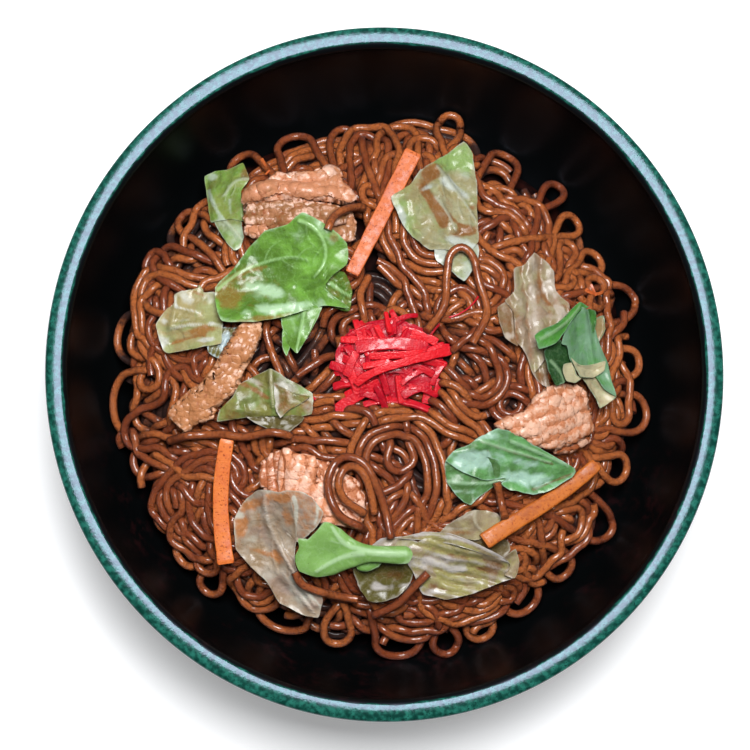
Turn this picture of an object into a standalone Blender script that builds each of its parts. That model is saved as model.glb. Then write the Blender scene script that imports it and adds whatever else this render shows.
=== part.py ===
"""Yakisoba in its bowl: stir-fried noodles with cabbage, pork, carrot and red ginger.

Lengths are in metres, +Z is up, and the origin is under the middle of the foot ring.
The food is laid from the bottom up, and each piece is draped on those already there.
"""

import math
import random

import bmesh
import bpy
from mathutils import Vector, noise
from mathutils.bvhtree import BVHTree

MM = 0.001

# ---- driving dimensions: the bowl ----
BOWL_ACROSS = 250 * MM
BOWL_HEIGHT = 66 * MM
OUT_OF_ROUND = 1.031        # the bowl is this much longer along Y than along X
LIP_WIDTH = 7.7 * MM        # from the widest point to where the dark inside starts
FOOT_RADIUS = 56 * MM
FOOT_WIDTH = 7 * MM
FOOT_HEIGHT = 6 * MM
FLOOR_HEIGHT = 12 * MM      # height of the inside's lowest point
SEGMENTS = 48               # straight facets round the bowl and round the heap

# ---- driving dimensions: the food ----
HEAP_RADIUS = 104.5 * MM
HEAP_TOP = 63 * MM
HEAP_MIDDLE = (-1.0 * MM, -1.7 * MM)    # the heap sits a little off the bowl's middle
LOOP_BULGE = 2.6 * MM       # how far wide loops of noodle stand out of the heap's edge
CURL_BULGE = 2.0 * MM       # and how far tight ones do
BROAD_RELIEF, BROAD_SPACING = 5.0 * MM, 45 * MM     # hills over the heap
FINE_RELIEF, FINE_SPACING = 4.0 * MM, 19 * MM       # bundles of noodles on those hills
GAP = 0.4 * MM              # kept between pieces that touch
LIFT = 0.2 * MM             # step by which a piece is raised until it touches nothing
LEAF_THICKNESS = 1.2 * MM
STEM_THICKNESS = 2.4 * MM
CARROT_WIDTH = 5.8 * MM
CARROT_THICKNESS = 3.2 * MM
PORK_THICKNESS = 3.0 * MM
RIPPLE_SPACING = 11 * MM    # from one ripple of a leaf or a slice to the next

SEED = 7


# ---------------------------------------------------------------- scene and finishes

def empty_scene():
    for leftover in list(bpy.data.objects):
        bpy.data.objects.remove(leftover, do_unlink=True)


def finish(name, colour, roughness, metallic=0.0):
    material = bpy.data.materials.new(name)
    material.use_nodes = True
    shader = material.node_tree.nodes["Principled BSDF"]
    shader.inputs["Base Color"].default_value = (*colour, 1.0)
    shader.inputs["Roughness"].default_value = roughness
    shader.inputs["Metallic"].default_value = metallic
    return material


def body(name, shape, material):
    """Turn a bmesh into a named object with its faces pointing out."""
    bmesh.ops.recalc_face_normals(shape, faces=shape.faces)
    if shape.calc_volume(signed=True) < 0:
        bmesh.ops.reverse_faces(shape, faces=shape.faces)
    mesh = bpy.data.meshes.new(name)
    shape.to_mesh(mesh)
    shape.free()
    mesh.shade_smooth()
    mesh.set_sharp_from_angle(angle=math.radians(40))
    mesh.materials.append(material)
    piece = bpy.data.objects.new(name, mesh)
    bpy.context.scene.collection.objects.link(piece)
    return piece


# ---------------------------------------------------------------- bowl

def arc(centre, radius, start, end, steps):
    """Points on an arc; angles are in degrees, from the +radius direction upwards."""
    points = []
    for step in range(steps + 1):
        angle = math.radians(start + (end - start) * step / steps)
        points.append((centre[0] + radius * math.cos(angle), centre[1] + radius * math.sin(angle)))
    return points


def swelling(low, high, reach, steps, fullness, start=0.0):
    """A wall that leaves its floor nearly flat and stands nearly upright at its top."""
    points = []
    for step in range(steps + 1):
        rise = start + (1 - start) * (step / steps) ** 1.5
        out = (1 - (1 - rise) ** 1.6) ** (1 / fullness)
        points.append((reach * out, low + (high - low) * rise))
    return points


def inner_wall():
    """The inside from the floor's edge up to the lip, as (radius, height) pairs."""
    top = BOWL_HEIGHT - 2.6 * MM
    return swelling(FLOOR_HEIGHT, top, BOWL_ACROSS / 2 - LIP_WIDTH, 8, 5.5, start=0.004)


def lip():
    """The rounded lip, from outside to inside: tight shoulders and a flatter crest."""
    crest_radius = 8.0 * MM
    outer_shoulder = 2.3 * MM
    inner_shoulder = 3.2 * MM
    half = math.radians(12)
    shift = (crest_radius - outer_shoulder) * math.sin(half)
    crest_middle = BOWL_ACROSS / 2 - shift - outer_shoulder
    crest_end = BOWL_HEIGHT - crest_radius * (1 - math.cos(half))
    outer_hub = (crest_middle + shift, crest_end - outer_shoulder * math.cos(half))
    inner_hub = (
        crest_middle - (crest_radius - inner_shoulder) * math.sin(half),
        crest_end - inner_shoulder * math.cos(half),
    )
    outer = arc(outer_hub, outer_shoulder, 0, 78, 3)
    inner = arc(inner_hub, inner_shoulder, 102, 155, 2)
    return outer + [(crest_middle, BOWL_HEIGHT)] + inner


def bowl_profile():
    """Half section from the underside's middle, round the outside, to the floor's middle."""
    foot_inner = FOOT_RADIUS - FOOT_WIDTH
    round_off = 1.0 * MM
    underside = [
        (0.0, FOOT_HEIGHT - 1.0 * MM),
        (foot_inner - round_off, FOOT_HEIGHT - 1.0 * MM),
        (foot_inner, 0.0),
        (FOOT_RADIUS - round_off, 0.0),
        (FOOT_RADIUS, round_off),
        (FOOT_RADIUS + round_off, FOOT_HEIGHT),
    ]
    wall_top = BOWL_HEIGHT - 6 * MM
    outer = swelling(FOOT_HEIGHT, wall_top, BOWL_ACROSS / 2 - 0.9 * MM, 6, 4.2, start=0.07)
    inner = list(reversed(inner_wall()))
    return underside + outer + lip() + inner + [(0.0, FLOOR_HEIGHT)]


def spun(profile):
    """Spin a half section round Z and stretch it along Y to the bowl's oval."""
    shape = bmesh.new()
    points = [shape.verts.new((radius, 0.0, height)) for radius, height in profile]
    edges = [shape.edges.new(pair) for pair in zip(points, points[1:])]
    bmesh.ops.spin(
        shape, geom=points + edges, cent=(0, 0, 0), axis=(0, 0, 1),
        angle=math.tau, steps=SEGMENTS, use_duplicate=False,
    )
    bmesh.ops.remove_doubles(shape, verts=shape.verts, dist=0.00001)
    bmesh.ops.scale(shape, vec=(1.0, OUT_OF_ROUND, 1.0), verts=shape.verts)
    return shape


# ---------------------------------------------------------------- noodle heap

def wall_height_at(radius):
    """Height at which the inside of the bowl has this radius, along its flat facets."""
    wall = [(0.0, FLOOR_HEIGHT)] + inner_wall()
    for (near, low), (far, high) in zip(wall, wall[1:]):
        if radius <= far:
            return low + (high - low) * (radius - near) / (far - near)
    return wall[-1][1]


def wall_radius_at(height):
    wall = inner_wall()
    for (near, low), (far, high) in zip(wall, wall[1:]):
        if height <= high:
            return near + (far - near) * max(0.0, (height - low) / (high - low))
    return wall[-1][0]


def bulges(angle, how_many, layer):
    """Smooth uneven value of about -1 to 1 round a ring; layer picks another pattern."""
    return noise.noise(Vector((how_many * math.cos(angle), how_many * math.sin(angle), layer)))


def heap_outline(angle):
    """Radius of the heap's edge: round, with bulges where loops of noodle stand out."""
    return HEAP_RADIUS + LOOP_BULGE * bulges(angle, 3.1, 0.3) + CURL_BULGE * bulges(angle, 8.5, 4.7)


def heap_edge(across, along):
    """How many times (across, along) reaches from the bowl's middle to the heap's edge."""
    outline = heap_outline(math.atan2(along, across))
    size = math.hypot(across, along)
    ahead = (HEAP_MIDDLE[0] * across + HEAP_MIDDLE[1] * along) / size
    beside = math.hypot(*HEAP_MIDDLE) ** 2 - ahead ** 2
    return (ahead + math.sqrt(outline ** 2 - beside)) / size


def heap_relief(x, y):
    """Hills and bundles of noodles as soft unevenness over the heap."""
    broad = noise.noise(Vector((x / BROAD_SPACING, y / BROAD_SPACING, 1.7)))
    fine = noise.noise(Vector((x / FINE_SPACING, y / FINE_SPACING, 9.2)))
    return BROAD_RELIEF * broad + FINE_RELIEF * fine


def noodle_heap():
    """One body: a mound above, the inside of the bowl below, and an uneven edge between."""
    rings_above = 15
    rings_below = 6
    shape = bmesh.new()
    ladder = []
    for segment in range(SEGMENTS):
        angle = math.tau * segment / SEGMENTS
        across, along = math.cos(angle), math.sin(angle) * OUT_OF_ROUND
        edge_radius = heap_edge(across, along)
        edge_height = wall_height_at(edge_radius + GAP)
        column = []
        for ring in range(1, rings_above + 1):
            out = (ring / rings_above) ** 0.9
            x, y = across * edge_radius * out, along * edge_radius * out
            mound = (1 - out ** 2.6) ** 0.8
            calm = 1 - out ** 8
            height = edge_height + (HEAP_TOP - edge_height) * mound + heap_relief(x, y) * calm
            column.append(shape.verts.new((x, y, height)))
        for ring in range(1, rings_below + 1):
            drop = (1 - ring / rings_below) ** 2
            height = FLOOR_HEIGHT + GAP + (edge_height - FLOOR_HEIGHT - GAP) * drop
            radius = wall_radius_at(height - GAP) - GAP
            column.append(shape.verts.new((across * radius, along * radius, height)))
        ladder.append(column)
    top = shape.verts.new((0.0, 0.0, HEAP_TOP + heap_relief(0.0, 0.0)))
    bottom = shape.verts.new((0.0, 0.0, FLOOR_HEIGHT + GAP))
    for column, following in zip(ladder, ladder[1:] + ladder[:1]):
        shape.faces.new((top, column[0], following[0]))
        shape.faces.new((bottom, following[-1], column[-1]))
        for step in range(len(column) - 1):
            shape.faces.new((column[step], column[step + 1], following[step + 1], following[step]))
    return shape


# ---------------------------------------------------------------- laying food on food

class Pile:
    """What already lies in the bowl, as closed bodies that a new piece rests on."""

    def __init__(self):
        self.layers = []

    def add(self, piece):
        corners = [vertex.co.copy() for vertex in piece.data.vertices]
        faces = [tuple(face.vertices) for face in piece.data.polygons]
        self.layers.append(BVHTree.FromPolygons(corners, faces))

    def height(self, x, y, reach=2.0 * MM):
        """Highest point under (x, y) and a small ring of points round it."""
        best = 0.0
        ring = [(0, 0), (reach, 0), (-reach, 0), (0, reach), (0, -reach)]
        for layer in self.layers:
            for shift_x, shift_y in ring:
                start = Vector((x + shift_x, y + shift_y, 2 * BOWL_HEIGHT))
                hit = layer.ray_cast(start, Vector((0, 0, -1)))[0]
                if hit is not None:
                    best = max(best, hit.z)
        return best

    def touches(self, corners, faces):
        tree = BVHTree.FromPolygons(corners, faces)
        return any(layer.overlap(tree) for layer in self.layers)


def disc_of(u, v):
    """Map a point of the square -1..1 to the unit disc, as (radius, angle)."""
    if u == 0 and v == 0:
        return 0.0, 0.0
    if abs(u) >= abs(v):
        radius, angle = u, math.pi / 4 * v / u
    else:
        radius, angle = v, math.pi / 2 - math.pi / 4 * u / v
    if radius < 0:
        return -radius, angle + math.pi
    return radius, angle


def reach_of(corners, angle):
    """Distance from the middle to the straight-sided outline in one direction."""
    turned = sorted((math.atan2(along, across) % math.tau, across, along) for across, along in corners)
    for (first, *near), (second, *far) in zip(turned, turned[1:] + turned[:1]):
        if (angle - first) % math.tau <= (second - first) % math.tau:
            side = (far[0] - near[0], far[1] - near[1])
            crossing = near[0] * side[1] - near[1] * side[0]
            return crossing / (math.cos(angle) * side[1] - math.sin(angle) * side[0])
    return math.hypot(*turned[0][1:])


def torn(width, length, corners):
    """Outline corners in metres, from the piece's width along X and its length along Y.

    Each corner is given as its share of half the width and of half the length.
    """
    return [(across * width * MM / 2, along * length * MM / 2) for across, along in corners]


def blade(corners, cells):
    """Flat piece inside an outline: a square grid of points pulled out to its corners."""
    grid = []
    for row in range(cells + 1):
        line = []
        for column in range(cells + 1):
            radius, angle = disc_of(2 * column / cells - 1, 2 * row / cells - 1)
            reach = reach_of(corners, angle) * radius
            line.append((reach * math.cos(angle), reach * math.sin(angle), radius))
        grid.append(line)
    return grid


def strip(route, half_widths, cells_along, cells_across):
    """Flat piece along a smooth route; route points and half widths are in mm."""
    grid = []
    count = len(route) - 1
    for row in range(cells_along + 1):
        place = row / cells_along * count
        first = min(int(place), count - 1)
        blend = place - first
        before = route[max(first - 1, 0)]
        start, end = route[first], route[first + 1]
        after = route[min(first + 2, count)]
        middle, heading = [], []
        for axis in range(2):
            slope_in = (end[axis] - before[axis]) / 2
            slope_out = (after[axis] - start[axis]) / 2
            bend = 3 * (end[axis] - start[axis]) - 2 * slope_in - slope_out
            twist = 2 * (start[axis] - end[axis]) + slope_in + slope_out
            middle.append(start[axis] + blend * (slope_in + blend * (bend + blend * twist)))
            heading.append(slope_in + blend * (2 * bend + 3 * blend * twist))
        length = math.hypot(*heading)
        half = half_widths[first] * (1 - blend) + half_widths[first + 1] * blend
        line = []
        for column in range(cells_across + 1):
            side = 2 * column / cells_across - 1
            x = middle[0] - heading[1] / length * half * side
            y = middle[1] + heading[0] / length * half * side
            edge = max(abs(side), abs(2 * row / cells_along - 1))
            line.append((x * MM, y * MM, edge))
        grid.append(line)
    return grid


def lay(pile, name, grid, place, thickness, material, curl=0.0, wave=0.0, plump=0.0, stiff=2):
    """Drape a grid of points on the pile and close it into one body.

    curl lifts the rim, wave ripples the piece and plump thickens its middle (all in mm);
    stiff says how often the draped heights are evened out.
    """
    rows, columns = len(grid), len(grid[0])
    phase = sum(ord(letter) for letter in name) * 0.37
    flat, raised, fullness = [], [], []
    for line in grid:
        for x, y, edge in line:
            ripple = noise.noise(Vector((x / RIPPLE_SPACING, y / RIPPLE_SPACING, phase)))
            raised.append((curl * edge ** 3 + wave * ripple * (0.4 + 0.6 * edge)) * MM)
            fullness.append(thickness / 2 + plump * (1 - edge ** 3) * MM)
            flat.append((x + place[0] * MM + HEAP_MIDDLE[0], y + place[1] * MM + HEAP_MIDDLE[1]))
    ground = evened([pile.height(x, y) for x, y in flat], rows, columns, stiff)
    lowest = min(raised)
    middle = [
        Vector((x, y, level + rise - lowest + thickness / 2))
        for (x, y), level, rise in zip(flat, ground, raised)
    ]
    normals = grid_normals(middle, rows, columns)
    upper = [point + normal * full for point, normal, full in zip(middle, normals, fullness)]
    lower = [point - normal * thickness / 2 for point, normal in zip(middle, normals)]
    return settle(pile, name, upper + lower, rows, columns, material)


def neighbours(index, rows, columns):
    """Places of the grid points beside, before and behind one grid point."""
    row, column = divmod(index, columns)
    beside = [(row - 1, column), (row + 1, column), (row, column - 1), (row, column + 1)]
    return [r * columns + c for r, c in beside if 0 <= r < rows and 0 <= c < columns]


def evened(ground, rows, columns, times):
    """Bridge dips in the ground under a piece that is too stiff to follow them."""
    for _ in range(times):
        bridged = []
        for index, level in enumerate(ground):
            near = [ground[other] for other in neighbours(index, rows, columns)]
            bridged.append(max(level, (level + sum(near) / len(near)) / 2))
        ground = bridged
    return ground


def grid_normals(points, rows, columns):
    normals = []
    for index in range(rows * columns):
        row, column = divmod(index, columns)
        left = points[row * columns + max(column - 1, 0)]
        right = points[row * columns + min(column + 1, columns - 1)]
        front = points[max(row - 1, 0) * columns + column]
        back = points[min(row + 1, rows - 1) * columns + column]
        normals.append((right - left).cross(back - front).normalized())
    return normals


def settle(pile, name, corners, rows, columns, material):
    """Lift a sheet until it clears the pile, and make it the pile's next layer."""
    faces = sheet_faces(rows, columns)
    while pile.touches(corners, faces):
        corners = [corner + Vector((0, 0, LIFT)) for corner in corners]
    shape = bmesh.new()
    points = [shape.verts.new(corner + Vector((0, 0, GAP))) for corner in corners]
    for face in faces:
        shape.faces.new([points[index] for index in face])
    piece = body(name, shape, material)
    pile.add(piece)
    return piece


def sheet_faces(rows, columns):
    """Triangles of a closed sheet: a grid above, the same grid below and the rim between."""
    below = rows * columns
    faces = []
    for row in range(rows - 1):
        for column in range(columns - 1):
            a = row * columns + column
            b, c, d = a + 1, a + columns + 1, a + columns
            faces += [(a, b, c), (a, c, d)]
            faces += [(below + a, below + c, below + b), (below + a, below + d, below + c)]
    rim = [column for column in range(columns)]
    rim += [row * columns + columns - 1 for row in range(1, rows)]
    rim += [(rows - 1) * columns + column for column in range(columns - 2, -1, -1)]
    rim += [row * columns for row in range(rows - 2, 0, -1)]
    for here, following in zip(rim, rim[1:] + rim[:1]):
        faces += [(here, below + here, below + following), (here, below + following, following)]
    return faces


# ---------------------------------------------------------------- the pieces of food

# Each row: node, middle (x, y), width along X, length along Y, rim curl and ripple, all in
# mm, and the corners of the torn outline as shares of half the width and half the length.
CABBAGE_UNDER = [
    ("cabbage_13", (-59, 12), 14, 14, 0.5, 0.6, [(0.9, 0.8), (-0.8, 0.7), (-0.9, -0.5), (0.4, -1)]),
    ("cabbage_12", (36, -59), 32, 18, 1.0, 1.0, [
        (1, -0.2), (0.4, 1), (-0.2, 1), (-1, 0), (0, -0.8), (0.7, -1)]),
    ("cabbage_5", (56, 21), 30, 52, 1.0, 1.6, [
        (1, 0.1), (0.7, 0.6), (-0.1, 1), (-0.6, 0.6), (-1, -0.1), (0.1, -0.6), (0.5, -1)]),
    ("cabbage_1", (-60, 67), 20, 39, 1.0, 1.2, [
        (1, 0.2), (0.3, 1), (-1, 0.6), (-0.6, -0.4), (0.2, -1), (0.7, -0.9)]),
]
CABBAGE_MIDDLE = [
    ("cabbage_9", (-39, -66), 36, 48, 2.0, 1.6, [
        (1, 0.6), (-0.3, 1), (-1, 0.5), (-0.8, 0), (-0.1, -0.6), (0.9, -1), (1, -0.7), (0.5, -0.1)]),
    ("cabbage_11", (18, -70), 64, 25, 1.5, 1.6, [
        (1, 0.3), (0.1, 0.9), (-0.5, 1), (-1, 0.1), (-0.7, -0.9), (0.1, -1), (0.9, -0.5)]),
    ("cabbage_6", (72, 8), 34, 40, 2.5, 1.5, [
        (0.6, 0.4), (0.5, 0.9), (0, 1), (-1, 0.3), (-0.5, -0.7), (0.5, -1), (1, -0.7)]),
    ("cabbage_4", (19, 61), 34, 54, 1.0, 1.8, [
        (1, 0.5), (0.8, 1), (-0.3, 0.7), (-1, 0.2), (-0.5, -0.4), (0.6, -1), (0.9, -0.6)]),
    ("cabbage_3", (-73, 22), 28, 26, -1.0, 1.2, [
        (0.7, 0.8), (-0.4, 0.9), (-1, 0), (-0.7, -1), (0.9, -0.8), (1, -0.4)]),
]
CABBAGE_TOP = [
    ("cabbage_7", (-44, -10), 38, 24, -1.5, 1.0, [
        (1, 0.2), (0.1, 1), (-0.5, 0.4), (-1, -0.6), (0.4, -1), (0.9, -0.4)]),
    ("cabbage_8", (48, -34), 52, 28, -0.5, 1.4, [
        (1, -0.1), (-0.2, 1), (-1, 0.2), (-0.9, -0.5), (-0.6, -1), (0, -0.6), (0.7, -0.6)]),
    ("cabbage_2", (-38, 32), 54, 54, 1.4, 1.8, [
        (1, -0.4), (0.8, 0.6), (0.3, 1), (-0.4, 0.7), (-1, 0), (-0.9, -0.7), (0, -0.5), (0.2, -1)]),
]
PALE_CABBAGE = {"cabbage_3", "cabbage_4", "cabbage_5", "cabbage_9", "cabbage_11", "cabbage_12"}
PORK_BLADES = [
    ("pork_1", (-31, 64), 46, 32, [
        (0.7, 0.9), (-0.3, 0.8), (-1, 0.2), (-0.8, -0.8), (0.8, -1), (1, -0.1)]),
    ("pork_3", (-25, -42), 42, 34, [
        (0.3, 0.5), (-0.4, 0.9), (-1, 0.6), (-0.8, -0.6), (0.2, -1), (1, -0.9)]),
    ("pork_4", (59, -16), 41, 28, [
        (0.8, 0.8), (0.3, 1), (-0.4, 0.6), (-1, -0.2), (0.1, -0.9), (0.8, -0.8), (1, -0.2)]),
]
PORK_STRIP = [(15, 20), (8, 2), (3, -9), (-16, -16)]
PORK_STRIP_HALF_WIDTHS = [3.2, 4.4, 4.6, 4.6]
STEM = [(-21, -2), (-13, 0), (-2, 0), (9, 0), (21, -1)]
STEM_HALF_WIDTHS = [4, 10, 7, 3, 2.8]
CARROTS = [
    ("carrot_1", (1, 61), [(-12, -24), (0, 0), (12, 24)]),
    ("carrot_2", (-59, -47), [(2, 23), (-1, 4), (1, -23)]),
    ("carrot_3", (59, -48), [(-22, -14), (-6, -6), (9, 5), (22, 15)]),
]
GINGER_MIDDLE = (2.0, 3.5)
GINGER_ACROSS = (41.0, 36.0)
GINGER_HEIGHT = 10.7


def ginger_reach(angle):
    """Edge of the ginger: an oval with the ends of its strips standing out."""
    swell = (1 + 0.35 * bulges(angle, 2.4, 6.1)) * MM / 2
    return GINGER_ACROSS[0] * swell * math.cos(angle), GINGER_ACROSS[1] * swell * math.sin(angle)


def ginger_heap(pile, material):
    """The shredded ginger as one lumpy mound, with strip ends round its edge."""
    cells = 8
    ends = 24
    rim = 1.2
    grid = blade([ginger_reach(math.tau * end / ends) for end in range(ends)], cells)
    draw = random.Random(SEED)
    upper, lower = [], []
    for line in grid:
        for x, y, edge in line:
            x += GINGER_MIDDLE[0] * MM + HEAP_MIDDLE[0]
            y += GINGER_MIDDLE[1] * MM + HEAP_MIDDLE[1]
            ground = pile.height(x, y)
            dome = (GINGER_HEIGHT - rim) * (1 - edge ** 2.2) + draw.uniform(-0.9, 0.9) * (1 - edge ** 4)
            lower.append(Vector((x, y, ground)))
            upper.append(Vector((x, y, ground + (rim + dome) * MM)))
    settle(pile, "ginger", upper + lower, cells + 1, cells + 1, material)


def lay_cabbage(pile, rows, green, pale):
    for name, place, width, length, curl, wave, corners in rows:
        material = pale if name in PALE_CABBAGE else green
        grid = blade(torn(width, length, corners), 6)
        lay(pile, name, grid, place, LEAF_THICKNESS, material, curl, wave)


def main():
    empty_scene()
    green = finish("cabbage green", (0.12, 0.30, 0.03), 0.3)
    pale = finish("cabbage pale", (0.42, 0.36, 0.20), 0.25)
    pork = finish("pork", (0.60, 0.30, 0.16), 0.4)
    carrot = finish("carrot", (0.80, 0.18, 0.03), 0.35)

    glaze = finish("bowl glaze", (0.004, 0.004, 0.005), 0.12)
    pile = Pile()
    pile.add(body("bowl", spun(bowl_profile()), glaze))
    pile.add(body("noodles", noodle_heap(), finish("noodles", (0.30, 0.12, 0.035), 0.35)))

    lay_cabbage(pile, CABBAGE_UNDER, green, pale)
    for name, place, width, length, corners in PORK_BLADES:
        grid = blade(torn(width, length, corners), 6)
        lay(pile, name, grid, place, PORK_THICKNESS, pork, 0.5, 1.8, plump=1.6)
    strip_of_pork = strip(PORK_STRIP, PORK_STRIP_HALF_WIDTHS, 9, 2)
    lay(pile, "pork_2", strip_of_pork, (-63, 0), PORK_THICKNESS, pork, 0.0, 1.4, plump=0.8)
    half = CARROT_WIDTH / MM / 2
    for name, place, route in CARROTS:
        grid = strip(route, [half] * len(route), 8, 2)
        lay(pile, name, grid, place, CARROT_THICKNESS, carrot, stiff=40)
    lay_cabbage(pile, CABBAGE_MIDDLE, green, pale)
    lay_cabbage(pile, CABBAGE_TOP, green, pale)
    stem = strip(STEM, STEM_HALF_WIDTHS, 8, 4)
    lay(pile, "cabbage_10", stem, (-11, -63), STEM_THICKNESS, green, 0.5, 0.8)
    ginger_heap(pile, finish("ginger", (0.80, 0.01, 0.03), 0.3))


main()
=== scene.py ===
# %% [markdown]
# # Yakisoba in its bowl
# Stir-fried noodles lie in a wide black bowl with a green glazed lip. Cabbage, pork, carrot
# and a heap of red pickled ginger lie on the noodles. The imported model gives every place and
# size, and this file makes the fine surfaces and the finishes. It goes from the bowl, through
# the toppings, to the noodles, which are settled under and round the toppings.

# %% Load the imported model
import math
import random

import bmesh
import bpy
import numpy as np
from mathutils import Matrix, Vector
from mathutils.bvhtree import BVHTree


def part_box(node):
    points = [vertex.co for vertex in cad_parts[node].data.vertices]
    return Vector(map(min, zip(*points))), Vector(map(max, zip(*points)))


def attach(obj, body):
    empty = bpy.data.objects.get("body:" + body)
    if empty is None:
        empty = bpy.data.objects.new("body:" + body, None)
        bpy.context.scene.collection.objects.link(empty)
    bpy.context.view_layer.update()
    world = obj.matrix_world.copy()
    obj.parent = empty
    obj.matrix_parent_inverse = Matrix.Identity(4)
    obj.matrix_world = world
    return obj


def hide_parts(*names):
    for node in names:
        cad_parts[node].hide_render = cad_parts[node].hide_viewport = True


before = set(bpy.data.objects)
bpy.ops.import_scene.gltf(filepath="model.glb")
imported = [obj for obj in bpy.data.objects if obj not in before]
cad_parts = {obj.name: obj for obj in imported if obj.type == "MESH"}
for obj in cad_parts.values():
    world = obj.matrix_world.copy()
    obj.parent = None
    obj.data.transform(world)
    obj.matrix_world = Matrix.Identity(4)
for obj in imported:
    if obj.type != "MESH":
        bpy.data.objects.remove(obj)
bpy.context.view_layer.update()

MM = 0.001
print("CAD nodes:", len(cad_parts))

# %% [markdown]
# ## Camera and light
# The dish is seen from nearly overhead, with the far side leaning away a little. A long lens
# keeps the bowl's circle true. One wide soft light hangs over the dish: it lies as a thin
# bright line on each noodle and as a pale band on the crest of the lip. The room adds only a
# little light, so that the gaps between the noodles stay dark.

# %% Camera
bowl_low, bowl_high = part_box("bowl")
CAMERA_TILT = math.radians(7.0)
CAMERA_LEAN = math.radians(2.25)
CAMERA_AWAY = 0.85
VIEW_ACROSS = 0.2754
AIM = Vector((-0.0042, -0.0027, bowl_high.z))


def place_object(name, data):
    """A new object in the scene that holds this mesh, lamp or camera."""
    made = bpy.data.objects.new(name, data)
    bpy.context.scene.collection.objects.link(made)
    return made


towards = Vector((
    -math.sin(CAMERA_LEAN) * math.cos(CAMERA_TILT),
    -math.sin(CAMERA_TILT),
    math.cos(CAMERA_LEAN) * math.cos(CAMERA_TILT),
)).normalized()
camera_data = bpy.data.cameras.new("camera")
camera_data.sensor_width = 36
camera_data.lens = camera_data.sensor_width * CAMERA_AWAY / VIEW_ACROSS
camera_data.clip_start = 0.01
camera = place_object("camera", camera_data)
camera.location = AIM + towards * CAMERA_AWAY
right = Vector((0, 1, 0)).cross(towards).normalized()
up = towards.cross(right)
camera.matrix_world = Matrix((
    (right.x, up.x, towards.x, camera.location.x),
    (right.y, up.y, towards.y, camera.location.y),
    (right.z, up.z, towards.z, camera.location.z),
    (0, 0, 0, 1),
))
bpy.context.scene.camera = camera

# %% Light
SOFTBOX_PLACE = Vector((0.03, 0.21, 1.08))
softbox = bpy.data.lights.new("overhead softbox", "AREA")
softbox.shape = "SQUARE"
softbox.size = 0.52
softbox.energy = 20.0
softbox.color = (0.97, 0.98, 1.0)
lamp = place_object("overhead softbox", softbox)
lamp.location = SOFTBOX_PLACE
lamp.rotation_euler = (SOFTBOX_PLACE - AIM).to_track_quat("Z", "Y").to_euler()
world = bpy.data.worlds.new("room")
world.use_nodes = True
room = world.node_tree.nodes["Background"].inputs
room["Color"].default_value = (0.9, 0.95, 1.0, 1)
room["Strength"].default_value = 0.09
bpy.context.scene.world = world
bpy.context.scene.view_settings.view_transform = "Standard"

# %% [markdown]
# ## How the finishes are written
# A finish is a small tree of shader nodes. Written as plain expressions it stays readable:
# `Value` wraps one socket, and maths on it adds the Math nodes. `Finish` makes every other
# node, and mixes colours with Mix nodes, because a Math node would turn a colour grey.

# %% Shader helpers
class Value:
    """A number, colour or vector that a finish works out, with maths for numbers."""

    def __init__(self, finish, socket):
        self.finish = finish
        self.socket = socket

    def maths(self, operation, *inputs):
        return self.finish.node("ShaderNodeMath", {"operation": operation}, dict(enumerate(inputs)))

    def __add__(self, other):
        return self.maths("ADD", self, other)

    def __radd__(self, other):
        return self.maths("ADD", other, self)

    def __sub__(self, other):
        return self.maths("SUBTRACT", self, other)

    def __rsub__(self, other):
        return self.maths("SUBTRACT", other, self)

    def __mul__(self, other):
        return self.maths("MULTIPLY", self, other)

    def __rmul__(self, other):
        return self.maths("MULTIPLY", other, self)

    def __pow__(self, other):
        return self.maths("POWER", self, other)

    def ramp(self, start, end):
        """0 below start, 1 above end, smooth between; start may be the larger."""
        return self.finish.node(
            "ShaderNodeMapRange", {"interpolation_type": "SMOOTHSTEP"}, {0: self, 1: start, 2: end})


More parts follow.
